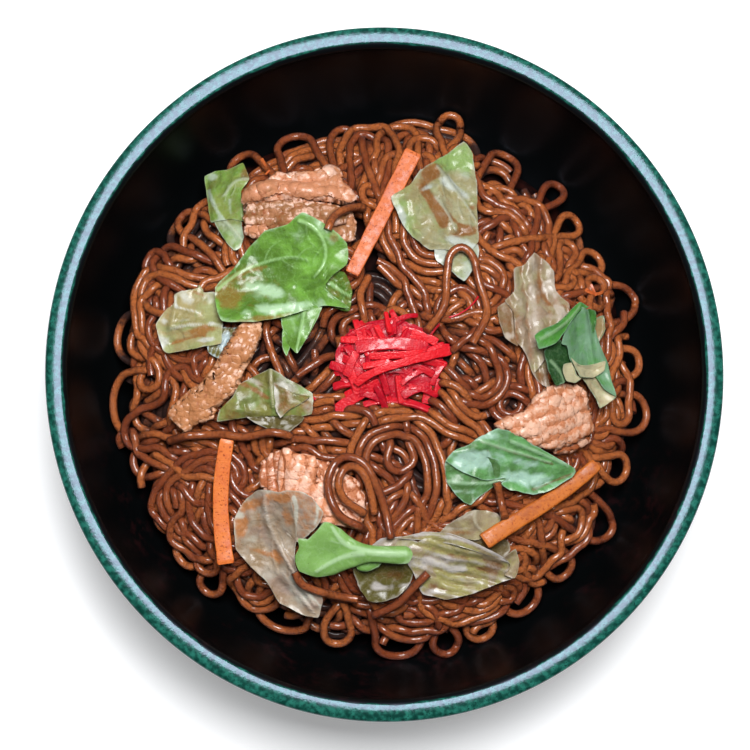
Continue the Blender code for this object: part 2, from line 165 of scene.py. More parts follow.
class Finish:
    """The node tree of one material."""

    def __init__(self, name, **constants):
        self.material = bpy.data.materials.new(name)
        self.material.use_nodes = True
        self.tree = self.material.node_tree
        self.shader = self.tree.nodes["Principled BSDF"]
        self.set(**constants)

    def feed(self, socket, value):
        if isinstance(value, Value):
            self.tree.links.new(value.socket, socket)
        else:
            socket.default_value = value

    def node(self, kind, settings=None, inputs=None, output=0):
        made = self.tree.nodes.new(kind)
        for setting, value in (settings or {}).items():
            setattr(made, setting, value)
        for socket, value in (inputs or {}).items():
            self.feed(made.inputs[socket], value)
        return Value(self, made.outputs[output])

    def place(self):
        return self.node("ShaderNodeTexCoord", output="Object")

    def attribute(self, name):
        return self.node("ShaderNodeAttribute", {"attribute_name": name}, output="Fac")

    def noise(self, size, detail=2.0, roughness=0.5, distortion=0.0, output="Fac"):
        """Cloudy value of about 0.3 to 0.7 with features of the given size in metres."""
        return self.node("ShaderNodeTexNoise", None, {
            "Vector": self.place(), "Scale": 1 / size, "Detail": detail,
            "Roughness": roughness, "Distortion": distortion}, output)

    def wavy(self, size, reach):
        """Object coordinates pushed about by noise of this size, to bend a regular pattern."""
        push = self.noise(size, output="Color")
        centred = self.node("ShaderNodeVectorMath", {"operation": "SUBTRACT"}, {0: push, 1: (0.5, 0.5, 0.5)})
        scaled = self.node("ShaderNodeVectorMath", {"operation": "SCALE"}, {0: centred, "Scale": reach})
        return self.node("ShaderNodeVectorMath", {"operation": "ADD"}, {0: self.place(), 1: scaled})

    def mix(self, factor, first, second):
        """Blend of two colours; each comes from other nodes or is a screen colour, 0 to 255."""
        first, second = (part if isinstance(part, Value) else srgb(*part) for part in (first, second))
        return self.node("ShaderNodeMix", {"data_type": "RGBA"}, {0: factor, 6: first, 7: second}, 2)

    def bump(self, height, distance, strength=1.0):
        inputs = {"Height": height, "Distance": distance, "Strength": strength}
        return self.node("ShaderNodeBump", None, inputs)

    def set(self, **sockets):
        for socket, value in sockets.items():
            self.feed(self.shader.inputs[socket.replace("_", " ")], value)
        return self.material


def srgb(red, green, blue):
    """A screen colour, 0 to 255, as the linear colour that shaders use."""
    linear = []
    for part in (red, green, blue):
        share = part / 255
        linear.append(share / 12.92 if share <= 0.04045 else ((share + 0.055) / 1.055) ** 2.4)
    return (*linear, 1.0)

# %% [markdown]
# ## Shared mesh helpers
# Every piece ends as a plain closed mesh with its faces outwards, at the origin. `to_piece`
# makes one from arrays of points and faces, and `stand_for` says which CAD node it replaces.

# %% Mesh helpers
def shaded(name, mesh, sharp):
    """The object of a mesh that is smooth, but sharp where faces meet at a larger angle."""
    mesh.shade_smooth()
    mesh.set_sharp_from_angle(angle=math.radians(sharp))
    return place_object(name, mesh)


def to_piece(name, points, faces, material, sharp=60.0):
    """A mesh object from an array of points in metres and lists of corner numbers."""
    mesh = bpy.data.meshes.new(name)
    mesh.from_pydata(points.tolist(), [], faces)
    mesh.update()
    mesh.materials.append(material)
    return shaded(name, mesh, sharp)


def store(mesh, label, numbers):
    """Keep one number for each point of a mesh, for a finish to read by its label."""
    mesh.attributes.new(label, "FLOAT", "POINT").data.foreach_set("value", np.asarray(numbers, np.float32))


def stand_for(piece, node=None):
    """The piece moves with the whole dish and is shown instead of this CAD node."""
    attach(piece, "root")
    if node:
        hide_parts(node)
    piece.data.calc_loop_triangles()
    print(f"{piece.name}: {len(piece.data.loop_triangles)} triangles")


def tree_of(*pieces):
    """One search tree over the meshes of several objects."""
    corners, faces = [], []
    for piece in pieces:
        start = len(corners)
        corners += [vertex.co.copy() for vertex in piece.data.vertices]
        faces += [[start + corner for corner in face.vertices] for face in piece.data.polygons]
    return BVHTree.FromPolygons(corners, faces)

# %% [markdown]
# ## Bowl
# The bowl is thrown on a wheel, so its shape is one half section turned round the middle, and
# then pressed a little oval. Its section is written from a few sizes: a wall that leaves the
# floor nearly flat and stands nearly upright at the top, and a lip of three arcs, with a
# flatter crest between two tight shoulders. Spin turns it in fine steps.

# %% Sizes of the bowl
BOWL_RADIUS = (bowl_high.x - bowl_low.x) / 2
OUT_OF_ROUND = (bowl_high.y - bowl_low.y) / (bowl_high.x - bowl_low.x)
BOWL_HEIGHT = bowl_high.z
FLOOR_HEIGHT = 12 * MM
LIP_WIDTH = 7.7 * MM
LIP_DROP = 2.6 * MM         # from the crest of the lip down to where the inside begins
INSIDE_RADIUS = BOWL_RADIUS - LIP_WIDTH
WALL_BEND, WALL_FULLNESS = 1.6, 5.5
CREST, OUTER_SHOULDER, INNER_SHOULDER = 18.0 * MM, 1.6 * MM, 3.3 * MM
CREST_HALF_TURN = 6.3       # degrees of the crest's arc on each side of straight up
FOOT_RADIUS, FOOT_WIDTH, FOOT_HEIGHT = 56 * MM, 7 * MM, 6 * MM
BOWL_SIDES = 240

# %% Section of the bowl
def arc(hub, radius, start, end, steps):
    """Points on an arc of a section; angles in degrees from straight outwards, rising."""
    angles = [math.radians(start + (end - start) * step / steps) for step in range(steps + 1)]
    return [(hub[0] + radius * math.cos(a), hub[1] + radius * math.sin(a)) for a in angles]


def wall(low, high, reach, steps, fullness, start):
    """One side of the wall from low to high, where it is reach away from the middle."""
    points = []
    for step in range(steps + 1):
        rise = start + (1 - start) * (step / steps) ** 1.5
        points.append((reach * (1 - (1 - rise) ** WALL_BEND) ** (1 / fullness), low + (high - low) * rise))
    return points


def lip_section():
    half = math.radians(CREST_HALF_TURN)
    shift = (CREST - OUTER_SHOULDER) * math.sin(half)
    middle = BOWL_RADIUS - shift - OUTER_SHOULDER
    end = BOWL_HEIGHT - CREST * (1 - math.cos(half))
    first, last = 90 - CREST_HALF_TURN, 90 + CREST_HALF_TURN
    outside = arc((middle + shift, end - OUTER_SHOULDER * math.cos(half)), OUTER_SHOULDER, 0, first, 12)
    flat = arc((middle, BOWL_HEIGHT - CREST), CREST, first, last, 10)
    hub = (middle - (CREST - INNER_SHOULDER) * math.sin(half), end - INNER_SHOULDER * math.cos(half))
    return outside + flat[1:] + arc(hub, INNER_SHOULDER, last, 155, 10)[1:]


def bowl_section():
    inner, edge = FOOT_RADIUS - FOOT_WIDTH, 1.0 * MM
    under = [
        (0.0, FOOT_HEIGHT - edge), (inner - 3 * edge, FOOT_HEIGHT - edge),
        (inner - edge, FOOT_HEIGHT - 2 * edge), (inner, 0.0),
        (FOOT_RADIUS - edge, 0.0), (FOOT_RADIUS, edge), (FOOT_RADIUS + edge, FOOT_HEIGHT),
    ]
    outside = wall(FOOT_HEIGHT, BOWL_HEIGHT - 6 * MM, BOWL_RADIUS - 0.9 * MM, 20, 4.2, 0.07)
    inside = wall(FLOOR_HEIGHT, BOWL_HEIGHT - LIP_DROP, INSIDE_RADIUS, 34, WALL_FULLNESS, 0.0005)
    return under + outside + lip_section() + inside[::-1] + [(0.0, FLOOR_HEIGHT)]

# %% Turning the bowl
def turned(name, section, sides, material):
    """Spin a half section round the upright axis, closed at both poles."""
    shape = bmesh.new()
    points = [shape.verts.new((radius, 0, height)) for radius, height in section]
    edges = [shape.edges.new(pair) for pair in zip(points, points[1:])]
    bmesh.ops.spin(shape, geom=points + edges, cent=(0, 0, 0), axis=(0, 0, 1),
                   angle=math.tau, steps=sides, use_duplicate=False)
    bmesh.ops.remove_doubles(shape, verts=shape.verts, dist=0.01 * MM)
    bmesh.ops.scale(shape, vec=(1, OUT_OF_ROUND, 1), verts=shape.verts)
    bmesh.ops.recalc_face_normals(shape, faces=shape.faces)
    if shape.calc_volume(signed=True) < 0:
        bmesh.ops.reverse_faces(shape, faces=shape.faces)
    mesh = bpy.data.meshes.new(name)
    shape.to_mesh(mesh)
    shape.free()
    mesh.materials.append(material)
    return shaded(name, mesh, 35)

# %% [markdown]
# ## Glaze of the bowl
# The body is a glossy black, and the lip was dipped in a green glaze that is mottled, speckled
# with dark dots and darker where it runs thin. Radius and height, read from the object's own
# coordinates, place the green band. Brown blotches on the black towards the front are a painted
# reflection of the noodles in the near wall.

# %% Glaze
def bowl_glaze():
    glaze = Finish("bowl glaze", IOR=1.5, Specular_IOR_Level=0.33, Specular_Tint=(0.66, 0.76, 1.0, 1))
    squeeze = (1, 1 / OUT_OF_ROUND, 1)
    rounded = glaze.node("ShaderNodeMapping", None, {"Vector": glaze.place(), "Scale": squeeze})
    parts = glaze.node("ShaderNodeSeparateXYZ", None, {0: rounded}).socket.node
    across, along, height = (Value(glaze, part) for part in parts.outputs)
    radius = (across * across + along * along) ** 0.5
    run = glaze.noise(9 * MM, 3) - 0.5
    inner_edge = INSIDE_RADIUS + 1.1 * MM
    on_lip = (radius + run * (2.4 * MM)).ramp(inner_edge, inner_edge + 0.5 * MM)
    on_lip = on_lip * (height + run * (14 * MM)).ramp(BOWL_HEIGHT - 15 * MM, BOWL_HEIGHT - 13 * MM)
    mottled = glaze.mix(glaze.noise(2.2 * MM, 4).ramp(0.36, 0.66), (6, 52, 43), (34, 100, 86))
    dots = glaze.noise(0.55 * MM, 1).ramp(0.60, 0.68)
    speckled = glaze.mix(dots, mottled, (6, 38, 34))
    # Brown blotches on the black towards the front: a painted reflection of the noodles in the near wall.
    blotches = glaze.noise(14 * MM, 3).ramp(0.45, 0.65) * glaze.noise(3 * MM, 3).ramp(0.4, 0.7)
    blotches = blotches * (along * -1).ramp(-10 * MM, 60 * MM)
    black = glaze.mix(blotches * 0.85, (3, 4, 4), (27, 9, 10))
    colour = glaze.mix(on_lip, black, speckled)
    grain = glaze.noise(0.9 * MM, 2)
    return glaze.set(Base_Color=colour, Normal=glaze.bump(grain * on_lip, 0.03 * MM),
                     Roughness=0.34 - on_lip * 0.2)


bowl = turned("bowl_glazed", bowl_section(), BOWL_SIDES, bowl_glaze())
stand_for(bowl, "bowl")

# %% [markdown]
# ## Sheets: the shape of leaves and slices
# A wilted leaf or a slice of meat is a thin uneven sheet. It could be cut from a plane and
# draped by cloth simulation, but then every fold would lie where chance puts it. Here a sheet
# is a fine square grid of points, pulled out to a torn outline of a few corners. It takes its
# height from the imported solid, gets its own ripples and creases, and then gets a lower side
# and a rim, which close it.

# %% Smooth noise over a plane
def cloud(x, y, size, seed):
    """Smooth random values of about -1 to 1 over a plane, with features of this size."""
    table = np.random.RandomState(seed).uniform(-1, 1, (64, 64))
    x, y = np.asarray(x) / size, np.asarray(y) / size
    column, row = np.floor(x).astype(int), np.floor(y).astype(int)
    across, along = x - column, y - row
    across, along = across * across * (3 - 2 * across), along * along * (3 - 2 * along)
    left, right = column % 64, (column + 1) % 64
    lower = table[row % 64, left] * (1 - across) + table[row % 64, right] * across
    upper = table[(row + 1) % 64, left] * (1 - across) + table[(row + 1) % 64, right] * across
    return lower * (1 - along) + upper * along


def layered_cloud(x, y, size, seed, layers=3):
    return sum(cloud(x, y, size / 2 ** k, seed + k) / 2 ** k for k in range(layers)) / 1.5

# %% Paths
def walked(path):
    """Length of the way along a path to each of its points."""
    return np.r_[0, np.cumsum(np.linalg.norm(np.diff(path, axis=0), axis=1))]


def points_after(path, lengths, wanted):
    """The points of a path that lie after the wanted lengths of way."""
    return np.stack([np.interp(wanted, lengths, column) for column in path.T], 1)


def bent_line(points, count):
    """A smooth line that follows a few given points."""
    points = np.array(points, float)
    places, spots = np.linspace(0, 1, len(points)), np.linspace(0, 1, count)
    order = min(len(points) - 1, 3)
    return np.stack([np.polyval(np.polyfit(places, column, order), spots) for column in points.T], 1)

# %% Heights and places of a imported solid
class Drape:
    """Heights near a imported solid: its corner points, evened out, in mm."""

    def __init__(self, node, spread):
        corners = np.array([vertex.co[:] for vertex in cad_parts[node].data.vertices]) * 1000
        self.corners = np.unique(corners.round(3), axis=0)
        self.spread = spread
        self.low, self.high = self.corners.min(0), self.corners.max(0)
        self.middle = (self.low + self.high) / 2
        self.half = (self.high - self.low) / 2

    def at(self, x, y):
        apart = (x[..., None] - self.corners[:, 0]) ** 2 + (y[..., None] - self.corners[:, 1]) ** 2
        weight = np.exp(-apart / (2 * self.spread ** 2)) + 1e-12 / (1 + apart)
        return (weight * self.corners[:, 2]).sum(-1) / weight.sum(-1)

    def at_shares(self, shares):
        """Places in mm from shares of the solid's half width and half length."""
        return np.array(shares, float) * self.half[:2] + self.middle[:2]

    def place(self, percent):
        return self.at_shares(np.array(percent, float) / 100)

    def shares(self, x, y):
        return (x - self.middle[0]) / self.half[0], (y - self.middle[1]) / self.half[1]

# %% Outlines and grids
def smooth_loop(corners, roundness, count):
    """Closed outline through the corners; roundness 0 keeps the sides straight."""
    before, after = np.roll(corners, 1, 0), np.roll(corners, -1, 0)
    beyond = np.roll(corners, -2, 0)
    blend = np.linspace(0, 1, 24, endpoint=False)[None, :, None]
    start, way = corners[:, None], (after - corners)[:, None]
    slope_in = roundness * (after - before)[:, None] / 2 + (1 - roundness) * way
    slope_out = roundness * (beyond - corners)[:, None] / 2 + (1 - roundness) * way
    bend = 3 * way - 2 * slope_in - slope_out
    curve = start + blend * (slope_in + blend * (bend + blend * (slope_in + slope_out - 2 * way)))
    curve = curve.reshape(-1, 2)
    closed = np.r_[curve, curve[:1]]
    lengths = walked(closed)
    return points_after(closed, lengths, np.linspace(0, lengths[-1], count, endpoint=False))


def square_grid(cells):
    """A square grid of -1 to 1, and the ring that each of its points lies on, 0 to 1."""
    across, along = np.meshgrid(*[np.linspace(-1, 1, cells + 1)] * 2)
    return across, along, np.maximum(np.abs(across), np.abs(along))


def round_grid(cells):
    """A square grid of -1 to 1 drawn in to a round disc."""
    across, along, ring = square_grid(cells)
    reach = np.maximum(np.hypot(across, along), 1e-6)
    return across * ring / reach, along * ring / reach


def filled_grid(outline, cells):
    """A square grid whose rim is the outline; the inside is evened out between."""
    across, along, ring = square_grid(cells)
    a, b = across / np.maximum(ring, 1e-9), along / np.maximum(ring, 1e-9)
    # once round the square's rim from its lower left corner, as a share
    once_round = np.where(b <= -1 + 1e-9, (a + 1) / 8, np.where(
        a >= 1 - 1e-9, 0.25 + (b + 1) / 8, np.where(b >= 1 - 1e-9, 0.5 + (1 - a) / 8, 0.75 + (1 - b) / 8)))
    closed = np.r_[outline, outline[:1]]
    steps = np.linspace(0, 1, len(closed))
    middle = outline.mean(0)
    grid = np.stack([
        middle[k] + ring * (np.interp(once_round % 1.0, steps, closed[:, k]) - middle[k])
        for k in range(2)], -1)
    for _ in range(60):
        grid[1:-1, 1:-1] = (grid[:-2, 1:-1] + grid[2:, 1:-1] + grid[1:-1, :-2] + grid[1:-1, 2:]) / 4
    return grid, ring


def near_line(grid, line):
    """Distance of each grid point to a smooth line, and how far along the line, 0 to 1."""
    spots = np.linspace(0, 1, 60)
    apart = np.linalg.norm(grid[:, :, None] - bent_line(line, len(spots)), axis=-1)
    return apart.min(-1), spots[apart.argmin(-1)]

# %% Closing a sheet
def close_sheet(middle, half_thick):
    """Points and faces of a closed sheet: its two sides and the rim between them."""
    normal = np.cross(np.gradient(middle, axis=1), np.gradient(middle, axis=0))
    normal /= np.linalg.norm(normal, axis=-1, keepdims=True) + 1e-12
    rows, columns = middle.shape[:2]
    count = rows * columns
    outward = normal * half_thick[..., None]
    points = np.concatenate([(middle + outward).reshape(-1, 3), (middle - outward).reshape(-1, 3)])
    number = np.arange(count).reshape(rows, columns)
    top = np.stack([number[:-1, :-1], number[:-1, 1:], number[1:, 1:], number[1:, :-1]], -1).reshape(-1, 4)
    edge = np.r_[number[0, :-1], number[:-1, -1], number[-1, :0:-1], number[:0:-1, 0]]
    after = np.roll(edge, -1)
    side = np.stack([edge, edge + count, after + count, after], -1)
    return points, np.concatenate([top, top[:, ::-1] + count, side])


class Shells:
    """Closed shells gathered into one piece, with values at their points for the finish."""

    def __init__(self):
        self.points, self.faces, self.values, self.count = [], [], {}, 0

    def add(self, points, faces, **values):
        self.points.append(points)
        self.faces += [[corner + self.count for corner in face] for face in faces]
        for label, numbers in values.items():
            self.values.setdefault(label, []).append(np.broadcast_to(numbers, len(points)))
        self.count += len(points)

    def piece(self, name, material, sharp=60.0):
        made = to_piece(name, np.concatenate(self.points) * MM, self.faces, material, sharp)
        for label, numbers in self.values.items():
            store(made.data, label, np.concatenate(numbers))
        return made

# %% [markdown]
# ## Cabbage finish
# Wilted cabbage is thin and wet. Its colour goes from fresh green to a glassy brownish grey,
# veins are paler, and sauce stains it where it pools. The leaf builder stores its values at
# each point, above all vein, pale, stain, shade and cream. Pale is partly the leaf's own paler
# colour and partly painted sheen and highlight; shade is partly darker tone and partly painted
# shade. The finish mixes its colours by them, breaks them up with noise, and adds fine wrinkles
# as bump under an oily coat.

# %% Cabbage finish
def leaf_finish(name, green, deep, pale, stain, vein, gloss=0.27, wrinkle=0.5, shine=0.32, tinge=None):
    leaf = Finish(name, IOR=1.34, Specular_IOR_Level=0.2, Coat_IOR=1.5, Coat_Roughness=0.2,
                  Subsurface_Weight=0.2, Subsurface_Scale=1.2 * MM, Subsurface_Radius=(1.0, 0.9, 0.6))
    mottle = leaf.noise(7 * MM, 3)
    grain = leaf.noise(1.5 * MM, 5, 0.7) - 0.5
    fine = leaf.noise(0.7 * MM, 3)
    tinged = leaf.noise(11 * MM, 2, 0.5, 1.2).ramp(0.4, 0.6)
    colour = leaf.mix(tinged, green, tinge or green)
    # Shade darkens towards the deep colour: darker tone at random, and painted shade on flaps that lie under
    # others.
    shade = leaf.attribute("shade") + (mottle - 0.5) * 2.0 + grain * 0.4
    colour = leaf.mix(shade.ramp(-0.2, 1.1), colour, deep)
    creamy = leaf.attribute("cream") + (leaf.noise(3.5 * MM, 3) - 0.5) * 0.5
    colour = leaf.mix(creamy.ramp(0.3, 0.8) * 0.9, colour, (180, 168, 136))
    pooled = leaf.attribute("stain") + (leaf.noise(3.2 * MM, 4, 0.6) - 0.5) * 1.2 + grain * 0.2
    colour = leaf.mix(pooled.ramp(0.12, 0.8) * 0.85, colour, stain)
    # Pale mixes in the pale colour: the leaf's own paler parts and painted sheen and highlight.
    blotch = leaf.attribute("pale") + (leaf.noise(5.0 * MM, 3, 0.5, 0.4) - 0.5) * 1.4 + grain * 0.2
    colour = leaf.mix(blotch.ramp(0.15, 0.95) * 0.85, colour, pale)
    net = leaf.node("ShaderNodeTexVoronoi", {"feature": "DISTANCE_TO_EDGE"}, {
        "Vector": leaf.wavy(1.4 * MM, 2.5 * MM), "Scale": 1 / (3.2 * MM)}, "Distance")
    colour = leaf.mix(net.ramp(0.07, 0.0) * 0.12, colour, vein)
    colour = leaf.mix(leaf.attribute("vein").ramp(0.1, 0.9) * 0.6, colour, vein)
    flecks = leaf.noise(0.8 * MM, 1).ramp(0.73, 0.78) * 0.5
    colour = leaf.mix(flecks, colour, (70, 42, 18))
    crinkles = leaf.noise(3.4 * MM, 3, 0.45, 0.5)
    height = crinkles + grain * 0.1 + fine * 0.05 + leaf.attribute("vein") * 0.3
    wet = leaf.noise(6.0 * MM, 2).ramp(0.36, 0.56)
    return leaf.set(Base_Color=colour, Coat_Weight=wet * shine + 0.1, Roughness=fine * 0.3 + gloss,
                    Normal=leaf.bump(height, wrinkle * 1.9 * MM, 0.9))

# %% [markdown]
# ## Building one cabbage leaf
# Each leaf is one piece made of flaps. A flap is a sheet with its own outline, given in percent
# of the imported solid's half width and half length, so that the places stay tied to the model.
# Folds that show as an edge are flaps that lie over each other; soft folds are creases. A flap
# that lies under others is mostly given a higher shade, which is painted shade. Ribs are the
# parallel waves of a stalk end.

# %% Blots, lines and side veins
LEAF_THICKNESS = 0.55


def blots(x, y, marks, drape, seed):
    """Sum of soft blots: x, y, half width, half length (percent), turn in degrees, strength."""
    total = np.zeros_like(x)
    ragged = 0.35 * layered_cloud(x, y, 4.0, seed)
    for *shape, turn, strength in marks:
        across, along, wide, long_ = np.array(shape) / 100
        dx, dy = drape.shares(x, y)
        dx, dy = dx - across, dy - along
        c, s = math.cos(math.radians(turn)), math.sin(math.radians(turn))
        reach = np.hypot((dx * c + dy * s) / wide, (dy * c - dx * s) / long_) + ragged
        total += strength * np.clip(1.4 - reach, 0, 1)
    return total


def strokes(grid, lines, drape):
    """Sum of soft lines: points (percent), half width in mm, strength."""
    total = np.zeros(grid.shape[:2])
    for line, width, strength in lines:
        total += strength * np.exp(-(near_line(grid, drape.place(line))[0] / width) ** 2)
    return total


def lump_edges(x, y, size, seed):
    """Distance from the groove between two lumps, in shares of a lump's size."""
    table = np.random.RandomState(seed).uniform(0.1, 0.9, (64, 64, 2))
    x = x / size + 0.3 * layered_cloud(x, y, 1.5 * size, seed)
    y = y / size + 0.3 * layered_cloud(x, y, 1.5, seed + 1)
    column, row = np.floor(x).astype(int), np.floor(y).astype(int)
    nearest, second = np.full_like(x, 9.0), np.full_like(x, 9.0)
    for c in (column - 1, column, column + 1):
        for r in (row - 1, row, row + 1):
            middle = table[r % 64, c % 64]
            apart = np.hypot(x - c - middle[..., 0], y - r - middle[..., 1])
            second = np.minimum(second, np.maximum(nearest, apart))
            nearest = np.minimum(nearest, apart)
    return second - nearest


def side_veins(line, count, reach, turn):
    """Veins that branch off a main vein, left and right in turn, shorter towards its end."""
    made = []
    for k in range(count):
        place = (k + 0.6) / (count + 0.5) * (len(line) - 1)
        first = min(int(place), len(line) - 2)
        ahead = line[first + 1] - line[first]
        root = line[first] + (place - first) * ahead
        side = 1 if k % 2 else -1
        angle = math.atan2(ahead[1], ahead[0]) + side * math.radians(turn)
        bent = angle - side * math.radians(14)
        length = reach * (1.15 - 0.5 * k / count)
        half_way = root + 0.55 * length * np.array([math.cos(angle), math.sin(angle)])
        tip = root + length * np.array([math.cos(bent), math.sin(bent)])
        made.append([root, half_way, tip])
    return made

# %% Veins and relief of one flap
def flap_veins(grid, drape, veins, branched, width):
    """How much of a vein each point is, and how high its ridge stands there, in mm."""
    lines = [(drape.place(line), 1.0) for line in veins]
    for line, count, reach, turn in branched:
        lines.append((drape.place(line), 1.0))
        branches = side_veins(np.array(line, float) / 100, count, reach / 100, turn)
        lines += [(drape.at_shares(branch), 0.55) for branch in branches]
    vein, ridge = np.zeros((2, *grid.shape[:2]))
    for line, strength in lines:
        apart, place = near_line(grid, line)
        wide = width * strength * (1.25 - 0.7 * place)
        vein = np.maximum(vein, strength * np.exp(-(apart / (wide + 0.15)) ** 2))
        ridge = np.maximum(ridge, 0.45 * strength * np.exp(-(apart / (2.2 * wide + 0.4)) ** 2))
    return vein, ridge


def rib_wave(x, y, turn, apart, seed):
    """Parallel waves of -1 to 1 that run at this angle, this far apart in mm."""
    across = y * math.cos(math.radians(turn)) - x * math.sin(math.radians(turn))
    return np.sin(math.tau * (across / apart + 0.35 * layered_cloud(x, y, 12.0, seed)))

# %% Flap builder
def add_flap(shells, drape, corners, seed, lift=0.0, ripple=0.8, fine=0.22, curl=0.6, ribs=None, lumps=None,
             veins=(), branched=(), creases=(), pales=(), pale_lines=(), stains=(), stain_lines=(), shades=(),
             pale=0.0, shade=0.2, stain=0.0, cream=0.0, vein_width=0.5, roundness=0.35, torn=0.35,
             spacing=0.62, thickness=LEAF_THICKNESS):
    """One sheet: first its torn outline and grid, then its relief, then the finish's values."""
    outline = smooth_loop(drape.place(corners), roundness, 400)
    outward = outline - outline.mean(0)
    outward /= np.linalg.norm(outward, axis=1, keepdims=True)
    ragged = torn * layered_cloud(outline[:, 0], outline[:, 1], 3.0, seed + 40)
    outline = outline + outward * ragged[:, None]
    grid, ring = filled_grid(outline, int(np.clip(walked(outline)[-1] / 4 / spacing, 10, 100)))
    x, y = grid[..., 0], grid[..., 1]

    relief = 1.3 * ripple * layered_cloud(x, y, 9.0, seed) + 0.9 * fine * layered_cloud(x, y, 2.6, seed + 9)
    relief = relief + curl * ring ** 5 * (1 + cloud(x, y, 9.0, seed + 21))
    for line, width, depth in creases:
        relief = relief + depth * np.exp(-(near_line(grid, drape.place(line))[0] / width) ** 1.3)
    wave, groove = np.zeros((2, *x.shape))
    if ribs:
        turn, apart, depth = ribs
        # Ribs also colour: crests add painted highlight to pale, and valleys add painted shade to stain.
        wave = rib_wave(x, y, turn, apart, seed + 3)
        relief = relief + depth * wave
    if lumps:
        size, depth = lumps
        apart = lump_edges(x, y, size, seed + 60)
        relief = relief + depth * (1 - np.exp(-apart / 0.22))
        groove = np.exp(-(apart / 0.13) ** 2)
    vein, ridge = flap_veins(grid, drape, veins, branched, vein_width)
    height = drape.at(x, y) + lift + relief + ridge
    points, faces = close_sheet(np.stack([x, y, height], -1), thickness / 2 * (1.15 - 0.75 * ring ** 6))

    # Pale blots and lines are partly paler leaf and partly painted sheen and highlight.
    pale = pale + blots(x, y, pales, drape, seed + 5) + strokes(grid, pale_lines, drape)
    stain = stain + blots(x, y, stains, drape, seed + 6) + strokes(grid, stain_lines, drape)
    # Every sheet gets a thin light rim along its cut edge: painted light.
    values = {
        "vein": vein, "pale": pale + 0.45 * np.maximum(wave, 0) + 0.5 * ring ** 24,
        "stain": stain + 0.35 * np.maximum(-wave, 0), "shade": shade + blots(x, y, shades, drape, seed + 7),
        "cream": np.full_like(x, cream), "groove": groove}
    shells.add(points, faces, **{label: np.tile(numbers.ravel(), 2) for label, numbers in values.items()})

# %% Leaves and slices
toppings = []


class Topping:
    """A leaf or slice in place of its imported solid, made flap by flap from below up."""

    def __init__(self, node, ending, spread, seeds_apart, sharp=60.0, **usual):
        self.node, self.ending, self.sharp, self.usual = node, ending, sharp, usual
        self.seed, self.seeds_apart = sum(map(ord, node)), seeds_apart
        self.shells, self.drape = Shells(), Drape(node, spread)

    def flap(self, corners, **how):
        add_flap(self.shells, self.drape, corners, self.seed, **{**self.usual, **how})
        self.seed += self.seeds_apart

    def finish(self, slot, material):
        piece = self.shells.piece(self.node + self.ending, material, self.sharp)
        stand_for(piece, self.node)
        toppings.append(piece)


def leaf_over(node):
    return Topping(node, "_leaf", 4.0, 17)

# %% [markdown]
# ## The large green leaf
# It is the freshest and largest leaf: a satin green sheet with a pale midrib that arches over
# its right half, a second vein, a painted grey sheen in the middle, and folded lobes under its
# lower and right edges. Its far right lobe is ruffled, and painted dark inside as shade.

# %% Large green leaf
FRESH = leaf_finish("cabbage fresh", (108, 154, 62), (74, 106, 36), (166, 194, 158), (122, 96, 40),
    (156, 194, 132), 0.27, 0.5, 0.4)
midrib = [(27, 88), (45, 78), (61, 60), (62, 37), (48, 12)]
second_vein = [(-86, -3), (-60, 18), (-30, 33), (10, 42), (40, 35)]
leaf = leaf_over("cabbage_2")
leaf.flap([(5, -60), (16, -75), (15, -85), (10, -100), (4, -85)],
    lift=-1.8, shade=0.4, pale=0.1, ripple=0.3, spacing=0.5)
leaf.flap([(2, -35), (60, -25), (45, -60), (25, -95), (10, -80)],
    lift=-1.4, shade=0.6, pale=0.05, ripple=0.6, curl=-0.3, veins=[[(35, -30), (30, -60), (24, -90)]],
    pales=[(30, -50, 30, 20, 0, 0.4)])
leaf.flap([(55, -5), (70, 20), (90, 20), (100, -5), (97, -35), (75, -30)],
    lift=-0.8, shade=1.8, ripple=2.2, fine=0.9, pale=-0.5, stain=0.3,
    veins=[[(60, -10), (95, -33)], [(70, 5), (98, -15)]],
    pales=[(85, -5, 5, 16, 20, 0.9), (72, -10, 4, 10, -20, 0.8)])
leaf.flap([(-90, 0), (-65, 27), (-42, 57), (-20, 78), (10, 85), (31, 100), (60, 85), (92, 60), (93, 30),
    (70, 12), (62, -5), (97, -33), (60, -28), (10, -42), (-35, -52), (-80, -50)],
    shade=0.35, lift=0.5, ripple=1, curl=0.3, torn=0.3, roundness=0.5,
    branched=[(second_vein, 6, 40, 55), (midrib, 4, 30, 50)],
    creases=[(midrib, 2.4, 1.6), ([(30, 0), (50, -30)], 3, -2.2), ([(-40, -30), (10, -10)], 4, 1),
    ([(-80, -45), (10, -30)], 2.5, 1.2), ([(25, 10), (45, 20), (60, 10)], 1.6, 1.4),
    ([(35, -5), (55, 0)], 1.4, -1.6)],
    pales=[(-20, -5, 26, 13, -12, 0.95), (10, -30, 50, 9, 8, 1), (55, 75, 25, 7, -45, 0.5),
    (30, 70, 14, 12, 0, 0.4)],
    stains=[(-78, -10, 16, 30, 35, 0.6), (-30, -50, 55, 6, 12, 0.8), (-50, 0, 40, 30, 10, 0.42),
    (75, 65, 6, 8, 0, 0.7)], stain_lines=[([(-86, 0), (-55, 20), (-20, 30)], 0.9, 0.6)],
    shades=[(-35, 10, 50, 40, 10, 0.9)])
leaf.finish("cabbage_green", FRESH)
